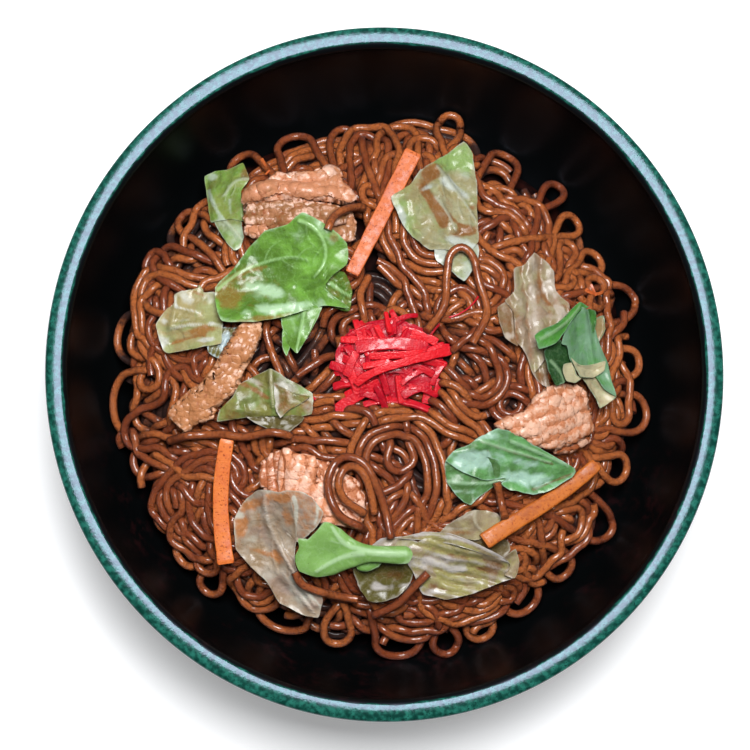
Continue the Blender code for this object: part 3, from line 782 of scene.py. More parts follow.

# %% [markdown]
# ## Green leaves at the back and on the left
# The leaf at the back left is folded down along its left margin, where a painted shine runs
# along the fold, and a pale stalk end with a brown line comes out under it. The leaf in the
# left middle is yellowish, with a brown translucent flap over its right half, and an edge
# showing below it that is darkened as painted shade.

# %% Back left leaf and left middle leaf
BACK_LEFT = leaf_finish("cabbage back left", (123, 142, 69), (100, 96, 46), (165, 179, 156), (117, 88, 48),
    (163, 173, 146), tinge=(108, 144, 63))
leaf = leaf_over("cabbage_1")
leaf.flap([(-35, -35), (40, -30), (70, -45), (80, -75), (70, -100), (42, -105), (0, -75)],
    lift=-0.6, pale=0.5, shade=0.5, ripple=0.3, curl=-0.2, veins=[[(0, -35), (80, -88)]],
    stains=[(75, -95, 12, 8, 0, 0.5)], stain_lines=[([(8, -35), (86, -88)], 0.35, 0.9)])
leaf.flap([(-75, 65), (-35, 75), (10, 75), (72, 90), (85, 75), (100, 50), (70, 25), (75, -15), (78, -43),
    (30, -37), (-45, -42), (-56, 0)], lift=0.3, shade=0.25, ripple=0.7, curl=-0.3,
    branched=[([(110, 48), (50, 45), (20, 28), (0, 13)], 4, 35, 45)],
    creases=[([(-50, 30), (-30, -5), (0, -35)], 1.3, 0.9), ([(-62, 50), (-55, 0), (-45, -40)], 1.2, -1.5)],
    pales=[(-45, 62, 20, 8, 0, 0.9), (-10, -35, 20, 6, 0, 0.5)],
    pale_lines=[([(-55, 30), (-33, -5), (0, -38)], 0.8, 0.9), ([(25, 5), (30, -25)], 0.7, 0.5)],
    stains=[(85, 60, 22, 20, 0, 0.9), (50, -20, 20, 20, 0, 0.25)])
leaf.finish("cabbage_green", BACK_LEFT)
LEFT_MIDDLE = leaf_finish("cabbage left middle", (122, 122, 63), (80, 70, 30), (169, 165, 154),
    (125, 80, 42), (156, 150, 120), tinge=(112, 133, 70))
leaf = leaf_over("cabbage_7")
leaf.flap([(-45, -45), (20, -40), (80, -50), (70, -75), (43, -100), (15, -95), (-20, -72)],
    lift=-1.6, shade=1.3, ripple=1, fine=0.5,
    pales=[(-10, -70, 20, 6, -10, 0.9), (50, -80, 15, 6, 20, 0.7)])
leaf.flap([(-100, -65), (-95, -30), (-70, 10), (-55, 50), (-23, 80), (10, 100), (50, 64), (97, 23),
    (95, -42), (55, -50), (0, -47), (-55, -55)], shade=0.35, ripple=0.9, curl=-0.4,
    veins=[[(10, 100), (12, 40), (16, -20)]],
    creases=[([(10, 100), (12, 40), (16, -20)], 1.2, 1.5), ([(-70, -30), (-10, -35)], 1.5, 1.2),
    ([(-45, -10), (-40, -50)], 0.8, -0.8)],
    pales=[(-25, 62, 22, 12, -20, 0.7), (40, 40, 30, 18, -35, 0.9), (-25, -35, 20, 8, 5, 0.5),
    (85, -30, 10, 20, 0, 0.4)],
    stains=[(85, -15, 20, 35, 0, 0.6), (-70, -45, 30, 15, 0, 0.35)],
    stain_lines=[([(-50, 55), (-20, 30), (5, 8)], 1, 0.8), ([(-30, 75), (-10, 50)], 0.8, 0.4)])
leaf.flap([(14, 55), (30, 45), (60, 20), (93, 10), (47, -33), (30, -58), (18, -20)],
    lift=0.9, shade=0.5, stain=0.45, ripple=0.5, pales=[(22, 10, 6, 30, 5, 0.9)],
    pale_lines=[([(17, 40), (20, -20), (32, -55)], 0.5, 0.8)])
leaf.finish("cabbage_green", LEFT_MIDDLE)

# %% [markdown]
# ## Leaves on the right
# The glossy leaf at the lower right is bluish green and folded on itself at its left. The one
# on the right edge is the most folded: a smooth bluish lobe, a bright margin turned back, a
# side under it darkened as painted shade, and the cream-coloured stalk end crumpled in the
# middle.

# %% Lower right leaf
LOWER_RIGHT = leaf_finish("cabbage lower right", (92, 144, 84), (62, 92, 46), (154, 184, 168), (98, 84, 48),
    (140, 172, 136), 0.24, 0.5, 0.4)
leaf = leaf_over("cabbage_8")
leaf.flap([(-100, 10), (-60, 30), (-10, 10), (0, -30), (-25, -55), (-50, -90), (-62, -110), (-80, -90),
    (-97, -50)], lift=-0.5, shade=0.75, ripple=0.7, veins=[[(-95, -45), (-50, -50), (-10, -40)]],
    pales=[(-62, -75, 12, 6, 20, 0.6)], pale_lines=[([(-90, -75), (-50, -60)], 0.6, 0.5)])
leaf.flap([(-100, 10), (-90, 35), (-65, 55), (-45, 80), (-20, 100), (10, 80), (50, 40), (100, -5),
    (95, -30), (60, -68), (35, -78), (0, -66), (-15, -50), (0, -30), (-40, -42), (-75, -20)],
    lift=0.5, shade=0.3, ripple=1, fine=0.35, pale=0.12,
    veins=[[(-47, 65), (0, 40), (60, 10)], [(0, 65), (50, 30), (90, 0)]],
    creases=[([(35, -60), (95, -20)], 0.9, -1.3), ([(-35, 40), (-20, -25)], 1, -1),
    ([(-90, 30), (-40, 50)], 1.2, 0.9)],
    pales=[(-55, 10, 24, 25, 15, 1.2), (25, -35, 40, 20, -10, 0.9), (-35, 75, 20, 10, 10, 0.7),
    (10, 15, 40, 12, -20, 0.5)],
    stain_lines=[([(-47, 62), (0, 38), (65, 5)], 0.5, 0.7), ([(35, -65), (95, -20)], 0.6, 1),
    ([(-35, 40), (-22, -20)], 0.8, 0.5)])
leaf.finish("cabbage_green", LOWER_RIGHT)

# %% Right edge leaf
RIGHT_EDGE = leaf_finish("cabbage right edge", (69, 125, 50), (33, 63, 30), (106, 136, 112), (140, 110, 78),
    (126, 153, 115), 0.28, 0.35)
leaf = leaf_over("cabbage_6")
leaf.flap([(-75, 0), (-40, 25), (-10, 0), (-10, -30), (-30, -60), (-50, -68), (-65, -40)],
    lift=-1.8, shade=1.4, ripple=0.6, veins=[[(-60, -20), (-40, -40), (-30, -60)]])
leaf.flap([(45, 65), (72, 75), (75, 50), (62, 25), (45, 35)], lift=-1.4, stain=1, ripple=0.4, pale=0.15)
leaf.flap([(15, -45), (60, -40), (85, -60), (100, -80), (60, -105), (50, -85), (30, -60)],
    lift=-1.2, cream=0.75, stain=0.3, creases=[([(30, -50), (90, -82)], 1.4, 1.2)],
    pale_lines=[([(40, -55), (95, -85)], 0.5, 0.5)])
leaf.flap([(-35, 15), (-15, 60), (5, 85), (30, 82), (45, 60), (60, 20), (80, -15), (90, -50), (100, -80),
    (70, -65), (50, -35), (20, -30), (-10, -20), (-20, 10)],
    lift=0.4, shade=-0.2, pale=0.65, ripple=0.5, fine=0.05, roundness=0.6,
    creases=[([(20, 80), (35, 30), (45, -20)], 1.4, 1.4), ([(0, 60), (10, 10)], 1.8, -0.9),
    ([(30, 10), (35, -20)], 0.9, -0.8)],
    pale_lines=[([(30, 65), (33, 30), (28, 10)], 0.8, 0.7), ([(50, 30), (70, -10)], 0.7, 0.4)])
leaf.flap([(30, 85), (50, 80), (52, 60), (45, 40), (38, 60)], lift=1, shade=0.3, ripple=0.3, spacing=0.5)
leaf.flap([(-100, 25), (-80, 38), (-40, 52), (-15, 75), (10, 95), (35, 88), (10, 82), (-8, 62), (-25, 40),
    (-50, 12), (-90, 0)], lift=1.4, shade=0, ripple=0.7, pale=0.05,
    veins=[[(-85, 20), (-30, 50), (10, 88)]], pales=[(-70, 30, 10, 5, 20, 0.5)])
leaf.flap([(-30, -25), (-10, -20), (0, -45), (15, -50), (-5, -62), (-25, -58), (-32, -40)],
    lift=1, cream=1, ripple=0.6, fine=0.3, spacing=0.45)
leaf.flap([(-12, -12), (5, -26), (35, -24), (75, -12), (72, -30), (45, -45), (10, -48), (0, -35)],
    lift=1.8, cream=1.1, ripple=0.9, fine=0.3, spacing=0.5, creases=[([(0, -30), (50, -30)], 1, -1)],
    stain_lines=[([(30, -40), (70, -20)], 0.4, 0.5)])
leaf.finish("cabbage_green", RIGHT_EDGE)

# %% [markdown]
# ## The thick stem piece
# At the front lies the end of a leaf with its thick midrib: a smooth, waxy, light green blade
# that narrows into a round stem. It is much thicker than a leaf and hardly wrinkled. Two soft
# pale veins part from the midrib like a Y.

# %% Stem piece
STEM = leaf_finish("cabbage stem", (117, 156, 83), (94, 133, 62), (162, 186, 149), (103, 103, 47),
    (167, 194, 154), 0.36, 0.2, 0.2)
stem_vein_up = [(90, -35), (20, -25), (-15, 10), (-35, 60)]
stem_vein_down = [(20, -30), (-20, -50), (-60, -95)]
leaf = leaf_over("cabbage_10")
leaf.flap([(5, -55), (50, -55), (45, -80), (25, -98), (10, -90)],
    lift=-1.8, shade=1, ripple=0.3, fine=0.1, thickness=1.6, spacing=0.5)
leaf.flap([(-95, -50), (-88, -10), (-90, 20), (-75, 15), (-60, 45), (-47, 78), (-33, 68), (10, 5),
    (40, -13), (90, -10), (100, -35), (93, -68), (70, -68), (45, -58), (5, -72), (-30, -105), (-60, -115),
    (-88, -95)],
    lift=0.6, shade=0.15, ripple=0.5, fine=0.04, curl=-0.8, thickness=2.4, torn=0.12, roundness=0.5,
    vein_width=0.6, veins=[stem_vein_down], branched=[(stem_vein_up, 5, 30, 35)],
    creases=[([(100, -35), (50, -35), (10, -30)], 3.2, 1.4)])
leaf.finish("cabbage_green", STEM)

# %% [markdown]
# ## Pale leaves at the back
# Fried longer, these are glassy: grey green or beige, stained brown, with white glints on
# every wrinkle. The large one at the back has a green top, a brown streak down its middle and
# a light cut rim at its left.

# %% Large pale leaf at the back
BACK = leaf_finish("cabbage back", (137, 127, 89), (122, 146, 84), (171, 177, 169), (120, 71, 28),
    (153, 155, 136), 0.22, 0.6, 0.4, (140, 136, 104))
leaf = leaf_over("cabbage_4")
leaf.flap([(0, -55), (50, -50), (100, -50), (97, -80), (82, -95), (65, -110), (40, -95), (5, -77)],
    lift=-1.2, pale=0.45, ripple=0.9, fine=0.4, pales=[(15, -68, 12, 10, 0, 0.8)],
    stains=[(60, -65, 20, 10, 20, 0.4)])
leaf.flap([(72, 120), (92, 102), (100, 55), (100, 0), (100, -45), (80, -62), (35, -60), (-10, -60),
    (-50, -40), (-80, -10), (-95, 20), (-55, 40), (-30, 65), (0, 82), (35, 100)],
    lift=0.3, shade=-0.1, ripple=1.3, fine=0.5, curl=-0.2, veins=[[(5, 25), (30, 0), (50, -28)]],
    branched=[([(10, 75), (60, 30), (95, -10)], 5, 40, 50)],
    creases=[([(-30, 40), (10, 48), (15, 30)], 1.1, 1), ([(10, 75), (60, 30)], 1.3, 1),
    ([(-55, -10), (-20, -45), (30, -50)], 1.2, 1), ([(30, -35), (100, -30)], 1.2, -1.2),
    ([(-60, 15), (-55, -20)], 0.9, -0.9)],
    pales=[(35, 50, 20, 12, -35, 1), (-12, 40, 18, 5, 15, 1), (-75, -5, 12, 15, 30, 0.8),
    (60, -50, 40, 10, -15, 1), (75, 65, 15, 10, 0, 0.5), (65, 35, 30, 8, -30, 0.6)],
    stains=[(-10, 60, 30, 14, 30, 1.1), (70, -28, 30, 10, 10, 1), (30, 10, 30, 20, -40, 0.3),
    (-70, 25, 20, 8, 0, 0.4), (20, -12, 12, 12, 0, 0.7), (85, 10, 15, 6, 20, 0.5)],
    stain_lines=[([(-20, 33), (0, 12), (20, -15)], 1.9, 1.4), ([(35, -5), (60, -20)], 1, 0.5)],
    shades=[(50, 95, 60, 25, 0, 1.4), (-70, 0, 30, 40, 30, 0.8)])
leaf.finish("cabbage_pale", BACK)

# %% [markdown]
# ## Pale leaves at the left and right
# The left one is nearly square, folded up along one line and crossed by ridges with painted
# highlights along them and a tan band between them; a frilled sliver of another leaf shows
# beside it. The right one hangs in soft upright folds, pinkish at its left lobe.

# %% Left pale leaf
LEFT = leaf_finish("cabbage left", (153, 140, 97), (117, 112, 63), (186, 186, 175), (138, 91, 43),
    (175, 177, 153), 0.22, 0.5, 0.4, (149, 153, 104))
leaf = leaf_over("cabbage_3")
leaf.flap([(30, 85), (34, 105), (46, 86), (40, 70)], lift=-0.4, shade=0.7, ripple=0.3, spacing=0.45)
leaf.flap([(-80, -20), (-60, 15), (-30, 45), (-30, 70), (-12, 85), (15, 87), (35, 93), (50, 78), (77, 80),
    (88, 35), (100, -10), (97, -85), (35, -95), (-45, -108), (-60, -98), (-75, -50)],
    lift=0.2, shade=0.25, ripple=0.7, fine=0.3,
    creases=[([(-27, 65), (-28, 30), (-40, -30)], 1.1, 1.4), ([(-25, 33), (38, 13)], 0.9, 1),
    ([(-38, -30), (30, -22), (98, -28)], 1.1, 1.3), ([(-35, -75), (40, -60)], 1, -1)],
    pales=[(5, 60, 22, 20, -30, 0.8), (60, -72, 26, 8, 5, 1.1), (-60, -70, 14, 20, 30, 0.8),
    (-55, -10, 10, 10, 0, 0.7), (70, -20, 12, 6, 0, 0.9), (-10, -10, 30, 7, 0, 0.5),
    (65, 60, 12, 20, 20, 0.6)],
    pale_lines=[([(-27, 65), (-27, 30)], 0.5, 0.8), ([(-25, 33), (38, 13)], 0.5, 0.8),
    ([(-38, -32), (30, -24), (98, -30)], 0.6, 0.8)],
    stains=[(35, -42, 70, 12, 3, 0.7), (35, 75, 20, 6, -30, 0.7), (-50, 20, 15, 25, 0, 0.3)],
    stain_lines=[([(-35, -78), (0, -66), (50, -55)], 0.8, 0.9), ([(55, -30), (57, -65)], 1.2, 0.5)])
leaf.finish("cabbage_pale", LEFT)
FRILL = leaf_finish("cabbage frill", (116, 122, 92), (92, 84, 34), (176, 192, 196), (96, 76, 32),
    (190, 204, 204), 0.2, 0.8)
leaf = leaf_over("cabbage_13")
leaf.flap([(-50, 90), (95, 95), (60, 40), (30, 0), (10, -60), (-20, -100), (-90, -60), (-90, 30)],
    shade=0.9, ripple=1.2, fine=0.8, ribs=(70, 1.6, 0.25), pales=[(10, 10, 25, 60, -15, 1.3)])
leaf.finish("cabbage_green", FRILL)

# %% Right pale leaf
RIGHT = leaf_finish("cabbage right", (139, 120, 100), (109, 81, 51), (167, 155, 141), (123, 76, 39),
    (155, 143, 125), 0.24, 0.6, tinge=(144, 136, 104))
leaf = leaf_over("cabbage_5")
leaf.flap([(-40, -35), (-10, -30), (30, -55), (35, -85), (40, -105), (20, -100), (-5, -85), (-15, -65)],
    lift=-1, shade=0.8, ripple=0.6, stain=0.2, ribs=(100, 5, 0.3))
leaf.flap([(-95, 15), (-70, 25), (-45, 15), (-35, -30), (-45, -45), (-75, -32), (-90, -10)],
    lift=-0.3, shade=0.6, stain=0.3,
    pales=[(-70, -28, 15, 6, 0, 0.9), (-80, 10, 10, 8, 0, 0.6)],
    pale_lines=[([(-60, 20), (-55, -30)], 0.6, 0.7)])
leaf.flap([(4, 102), (-20, 85), (-50, 75), (-52, 40), (-78, 25), (-55, 10), (-50, -35), (-20, -60),
    (-5, -85), (25, -65), (35, -20), (60, -10), (90, 5), (92, 25), (60, 45), (55, 75), (30, 92)],
    lift=0.4, shade=0.25, ripple=1, fine=0.4, ribs=(96, 7.5, 0.7),
    pales=[(35, 50, 16, 12, 0, 1), (75, 8, 20, 6, -30, 1.2), (5, 80, 10, 12, 0, 0.7),
    (-5, 10, 12, 40, 0, 0.5), (50, 0, 20, 8, 0, 0.6)],
    stains=[(15, 45, 12, 25, 0, 0.45), (-45, -10, 10, 30, 0, 0.5), (60, 30, 10, 10, 0, 0.5)],
    stain_lines=[([(25, 45), (40, 25), (80, 20)], 0.8, 0.6)])
leaf.finish("cabbage_pale", RIGHT)

# %% [markdown]
# ## Pale leaves at the front
# The one at the left is a glassy rounded fan that narrows to a ribbed tail, browned along its
# top edge. The long one under the stem piece is a stalk end with straight ribs and a folded
# edge, green at its left. A third fans out under a carrot stick.

# %% Front left fan
FRONT_LEFT = leaf_finish("cabbage front left", (149, 130, 118), (132, 101, 60), (178, 177, 163),
    (162, 103, 54), (178, 165, 151), 0.2, 0.5, tinge=(158, 148, 134))
fan_ridge = [(-25, 85), (-15, 45), (10, 0), (50, -50), (80, -85)]
leaf = leaf_over("cabbage_9")
leaf.flap([(0, 93), (45, 95), (70, 85), (97, 60), (80, 36), (45, 15), (20, 30), (10, 60)],
    lift=-0.3, shade=0, stain=0.45, pale=0.2, fine=0.3,
    pale_lines=[([(35, 85), (40, 60), (30, 30)], 0.7, 1.3), ([(85, 75), (80, 45)], 0.6, 0.9)])
leaf.flap([(-40, 97), (0, 93), (25, 88), (35, 55), (40, 25), (35, -10), (45, -36), (95, -72), (93, -90),
    (87, -105), (55, -100), (5, -80), (-20, -48), (-60, -18), (-85, 5), (-90, 50), (-70, 78)],
    lift=0.5, shade=0.3, ripple=1.1, fine=0.3, curl=0.9, roundness=0.5,
    veins=[[(10, -30), (45, -65), (80, -98)]], branched=[(fan_ridge, 7, 55, 35)],
    creases=[(fan_ridge, 1.6, 1.5), ([(-60, 75), (-50, 40)], 1.2, 0.9), ([(0, -30), (70, -90)], 1, 0.8)],
    pales=[(-60, 15, 25, 10, 0, 0.45), (45, -65, 30, 15, -30, 0.7), (-75, 58, 10, 6, 0, 0.9)],
    pale_lines=[([(-25, 70), (-15, 40)], 0.5, 0.7), ([(30, -40), (90, -85)], 0.5, 0.8)],
    stains=[(-55, 75, 40, 10, 12, 0.9), (10, 85, 30, 7, -5, 0.9), (0, -5, 16, 8, -40, 1),
    (-72, 45, 14, 20, -20, 0.8), (20, 60, 10, 20, 25, 0.6), (-30, 0, 30, 5, -15, 0.6),
    (-80, 30, 10, 30, 0, 0.4), (-35, 45, 8, 20, 10, 0.35)])
leaf.finish("cabbage_pale", FRONT_LEFT)

# %% Long ribbed leaf at the front
FRONT = leaf_finish("cabbage front", (135, 118, 93), (80, 74, 32), (177, 171, 167), (106, 68, 38),
    (162, 152, 139), 0.2, 0.5, 0.45, (142, 135, 84))
leaf = leaf_over("cabbage_11")
leaf.flap([(-93, 0), (-50, 25), (-20, 0), (-25, -55), (-40, -95), (-60, -110), (-75, -105), (-87, -60)],
    lift=-0.8, shade=1.3, ripple=0.9, fine=0.3,
    pales=[(-60, -65, 12, 12, 0, 0.9), (-30, -60, 8, 10, 0, 0.9)], stains=[(-45, -30, 20, 20, 0, 0.4)])
leaf.flap([(-75, 45), (-60, 75), (-35, 80), (-10, 60), (-20, 20), (-50, 20)],
    lift=0.2, shade=-0.2, pale=0.4, ripple=1, fine=0.4, stains=[(-50, 40, 15, 10, 0, 0.5)])
leaf.flap([(-35, 35), (-10, 75), (20, 80), (55, 55), (90, 15), (100, -35), (80, -55), (45, -88), (20, -100),
    (-10, -85), (-20, -30)], lift=0.4, shade=-0.1, fine=0.3, ribs=(-13, 3.3, 0.3),
    pales=[(5, 10, 30, 20, -15, 0.6), (30, -10, 12, 12, -10, 0.7), (0, -80, 20, 8, 20, 0.4)],
    stains=[(20, 20, 30, 10, -15, 0.6), (70, -10, 20, 20, 0, 0.5), (0, -70, 20, 15, 0, 0.35)])
leaf.flap([(-40, 75), (-10, 95), (20, 90), (45, 68), (80, 28), (93, 5), (60, 32), (20, 62), (-10, 72)],
    lift=1.1, shade=-0.2, cream=0.25, pale=0.2, ripple=0.3,
    pale_lines=[([(-20, 85), (30, 75), (90, 10)], 0.6, 0.7)])
leaf.flap([(85, 20), (100, 45), (105, 10), (100, -40), (88, -30), (95, 0)],
    lift=0.9, shade=-0.2, cream=0.4, ripple=0.3, stain=0.2, spacing=0.5)
leaf.finish("cabbage_pale", FRONT)

# %% Fan under the carrot
UNDER_CARROT = leaf_finish("cabbage under carrot", (138, 123, 98), (85, 70, 37), (162, 153, 138),
    (127, 85, 42), (156, 149, 127), 0.24, 0.5, tinge=(144, 134, 96))
leaf = leaf_over("cabbage_12")
leaf.flap([(-20, 10), (30, 10), (75, -30), (80, -65), (60, -95), (30, -95), (-30, -60), (-60, -20)],
    lift=-0.8, shade=1.1, ripple=0.7, pales=[(75, -80, 15, 10, 0, 0.8)])
leaf.flap([(-100, -10), (-80, 30), (-50, 62), (-20, 92), (10, 98), (45, 85), (55, 60), (40, 10), (0, -25),
    (-50, -20)], lift=0.3, shade=0.1, fine=0.3, veins=[[(-5, 95), (-10, 50), (10, 10)]],
    pales=[(-25, 70, 20, 15, 0, 0.4), (40, 75, 12, 12, 0, 0.4)],
    pale_lines=[([(-50, 60), (-10, 90)], 0.6, 0.6), ([(-90, 20), (-30, 22)], 0.6, 0.7)],
    stains=[(-40, 5, 30, 12, 0, 0.6)])
leaf.finish("cabbage_pale", UNDER_CARROT)
print(len(toppings), "cabbage leaves")

# %% [markdown]
# ## Pork
# Thin slices of pork, fried until they curl: fold over fold, with a lumpy surface like small
# cobbles, darker in the grooves, and wet with fat. They are built like the leaves but several
# millimetres thick. Lumps come from a scatter of points: between any two of them, where the
# distance to both is the same, runs a groove.

# %% Pork finish
def pork_finish(name, meat, brown, light):
    pork = Finish(name, IOR=1.38, Specular_IOR_Level=0.35, Coat_IOR=1.5, Coat_Roughness=0.26)
    broad = pork.noise(6 * MM, 4)
    fine = pork.noise(0.8 * MM, 4, 0.6)
    fibre = pork.noise(1.6 * MM, 5, 0.65, 0.8)
    groove = pork.attribute("groove")
    shade = pork.attribute("shade") + (broad - 0.5) * 1.6 + (fibre - 0.5) * 1.0
    colour = pork.mix(shade.ramp(0.0, 1.0), meat, brown)
    # Fat and sheen: the slice's paler fat, and pale blots that are painted sheen.
    fat = pork.attribute("pale") + (pork.noise(2.0 * MM, 4, 0.6) - 0.5) * 2.2 - groove * 0.9
    colour = pork.mix(fat.ramp(0.1, 0.7) * 0.8, colour, light)
    dark = pork.attribute("stain") + groove * 0.75 + (fibre - 0.5) * 1.3
    colour = pork.mix(dark.ramp(0.25, 0.95) * 0.85, colour, (138, 68, 30))
    dots = pork.noise(0.7 * MM, 2).ramp(0.66, 0.74) * 0.6
    colour = pork.mix(dots, colour, (130, 62, 30))
    wet = pork.noise(3.4 * MM, 3).ramp(0.38, 0.58)
    return pork.set(Base_Color=colour, Coat_Weight=wet * 0.6 + 0.12, Roughness=fine * 0.3 + 0.3,
                    Normal=pork.bump(fibre + fine * 0.35, 0.8 * MM, 0.85))


def slice_over(node, spread=3.0):
    return Topping(node, "_slice", spread, 31, 80, thickness=3.4, fine=0.3, roundness=0.45, torn=0.8,
                   spacing=0.5, lumps=(3.6, 0.7))

# %% Pork slices at the back and on the left
SLICE = pork_finish("pork slice", (210, 138, 98), (170, 98, 60), (238, 192, 168))
pork = slice_over("pork_1", spread=6.5)
pork.flap([(45, -15), (85, -10), (95, -50), (90, -85), (60, -90), (40, -50)],
    lift=-1.6, shade=0.5, thickness=2.6)
pork.flap([(-90, -50), (-60, -45), (-50, -68), (-70, -78), (-92, -65)],
    lift=-1, shade=0.3, thickness=2.6, spacing=0.4)
pork.flap([(-93, -10), (-80, 10), (-30, 15), (30, 10), (70, -10), (75, -45), (30, -65), (-30, -60),
    (-70, -50), (-93, -42)],
    lift=-0.2, shade=0.75, thickness=3.6, lumps=(3.8, 0.25), fine=0.6, ripple=1.6, ribs=(6, 5.4, 0.4),
    creases=[([(-90, -15), (0, -20), (60, -35)], 1.5, 1.2), ([(-40, -30), (10, -10)], 1.4, -1.2)])
pork.flap([(-100, 25), (-85, 48), (-52, 62), (-40, 84), (-10, 82), (25, 82), (47, 102), (72, 90), (70, 64),
    (95, 15), (80, 3), (40, 15), (-10, 10), (-35, 20), (-60, 12), (-95, 3)],
    lift=1.6, shade=0.15, thickness=4.2, lumps=(5.6, 0.6), torn=1.1, ripple=2, fine=0.6,
    creases=[([(-95, 20), (-40, 42), (10, 32), (75, 35)], 2, 1.8),
    ([(-50, 58), (0, 52), (45, 60)], 1, -1.8), ([(45, 85), (50, 80)], 2.4, 1.8)],
    pales=[(-20, 70, 30, 12, 0, 0.6), (45, 85, 14, 14, 0, 0.7), (80, 40, 15, 20, 0, 0.4)],
    stain_lines=[([(-50, 56), (0, 50), (45, 58)], 0.6, 0.7)])
pork.finish("pork", pork_finish("pork folded slice", (190, 126, 90), (136, 92, 54), (226, 184, 162)))
pork = slice_over("pork_2")
pork.flap([(83, 97), (100, 85), (100, 65), (80, 25), (60, 5), (57, -10), (46, -36), (0, -68), (0, -82),
    (-33, -90), (-55, -105), (-88, -78), (-85, -63), (-50, -47), (-3, -12), (24, 34), (55, 82)],
    thickness=4.6, lift=0.6, shade=0.25, lumps=(3, 0.5), fine=0.5, torn=0.35, spacing=0.42,
    pales=[(40, -15, 12, 10, 0, 0.7), (85, 80, 14, 12, 0, 0.6)],
    stain_lines=[([(40, 40), (20, 0), (-30, -60)], 0.5, 0.6)])
pork.finish("pork", pork_finish("pork strip", (178, 118, 74), (146, 84, 46), (220, 172, 140)))

# %% Pork slices at the front
pork = slice_over("pork_3")
pork.flap([(10, 62), (25, 60), (42, 55), (42, 30), (30, 15), (12, 25)],
    lift=-0.8, shade=0.1, pale=0.2, spacing=0.4)
pork.flap([(-97, 60), (-75, 80), (-50, 92), (-40, 40), (-50, -10), (-75, -10), (-97, 5), (-100, 30)],
    lift=-0.4, shade=0.9, ribs=(95, 3.4, 0.4), lumps=(2.4, 0.3), thickness=2.8)
pork.flap([(0, 65), (30, 60), (55, 40), (85, 15), (100, -10), (103, -50), (92, -75), (75, -70), (35, -20)],
    lift=-0.6, shade=0.7, stain=0.1, thickness=2.6, ribs=(-50, 3.6, 0.3), lumps=(3.4, 0.3),
    pales=[(90, -40, 15, 20, 0, 0.6)])
pork.flap([(-60, 85), (-46, 92), (-30, 80), (4, 72), (10, 50), (5, 30), (20, 0), (50, -35), (85, -75),
    (80, -85), (45, -80), (10, -75), (-40, -50), (-60, -20), (-62, 30)],
    lift=0.7, shade=0.05, thickness=3.6, lumps=(4.6, 0.45), ribs=(80, 5, 0.35), fine=0.25,
    pales=[(-30, 20, 20, 40, 0, 0.45), (10, -20, 12, 30, -30, 0.8), (60, -55, 20, 8, -30, 0.5)],
    stain_lines=[([(-55, 90), (-50, 50), (-55, 0)], 0.6, 0.8), ([(-10, 70), (-2, 30)], 0.6, 0.5),
    ([(5, 50), (10, 10), (40, -25)], 0.7, 0.6)])
pork.finish("pork", SLICE)
pork = slice_over("pork_4")
pork.flap([(10, -70), (40, -55), (90, -35), (95, -60), (60, -90), (20, -100)],
    lift=-1.4, shade=1, stain=0.3, thickness=2.6, pales=[(75, -70, 12, 12, 0, 0.9)])
pork.flap([(-105, -28), (-90, -10), (-60, -2), (-42, 15), (-30, 38), (-5, 70), (25, 90), (60, 90), (82, 72),
    (88, 25), (97, -15), (95, -38), (65, -65), (20, -90), (-20, -85), (-60, -60)],
    lift=0.8, shade=0.1, thickness=4.6, lumps=(3.3, 0.75), torn=0.5, fine=0.6, pale=0.12,
    ribs=(28, 4.5, 0.3),
    pales=[(-35, -40, 30, 15, 0, 0.5), (30, 30, 30, 25, 0, 0.4), (60, -5, 20, 20, 0, 0.35)],
    stains=[(-35, 20, 20, 6, 45, 0.5), (60, 55, 25, 5, 0, 0.5), (75, -45, 20, 6, 20, 0.5)])
pork.finish("pork", pork_finish("pork light slice", (186, 118, 80), (150, 82, 46), (216, 172, 146)))

# %% [markdown]
# ## Carrot sticks
# The carrot is cut into square sticks as thick as two noodles. Each stick is a short row of
# square sections with rounded corners along its middle line, which dips and bends with the
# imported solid, and ends in flat cut faces. The cut surface is rough, with small dark pits.

# %% Sticks along a line
def along_line(points, count):
    """Smooth line through a few given points, in even steps, with its direction."""
    fine = bent_line(points, 200)
    lengths = walked(fine)
    line = points_after(fine, lengths, np.linspace(0, lengths[-1], count))
    ahead = np.gradient(line, axis=0)
    return line, ahead / np.linalg.norm(ahead, axis=1, keepdims=True), lengths[-1]


def rounded_square(corner, steps=3):
    """Section of half width 1 with round corners, as x and y."""
    points = []
    for quarter, (across, along) in enumerate(((1, 1), (-1, 1), (-1, -1), (1, -1))):
        for step in range(steps + 1):
            angle = math.radians(90 * quarter + 90 * step / steps)
            points.append((across * (1 - corner) + corner * math.cos(angle),
                           along * (1 - corner) + corner * math.sin(angle)))
    return np.array(points)


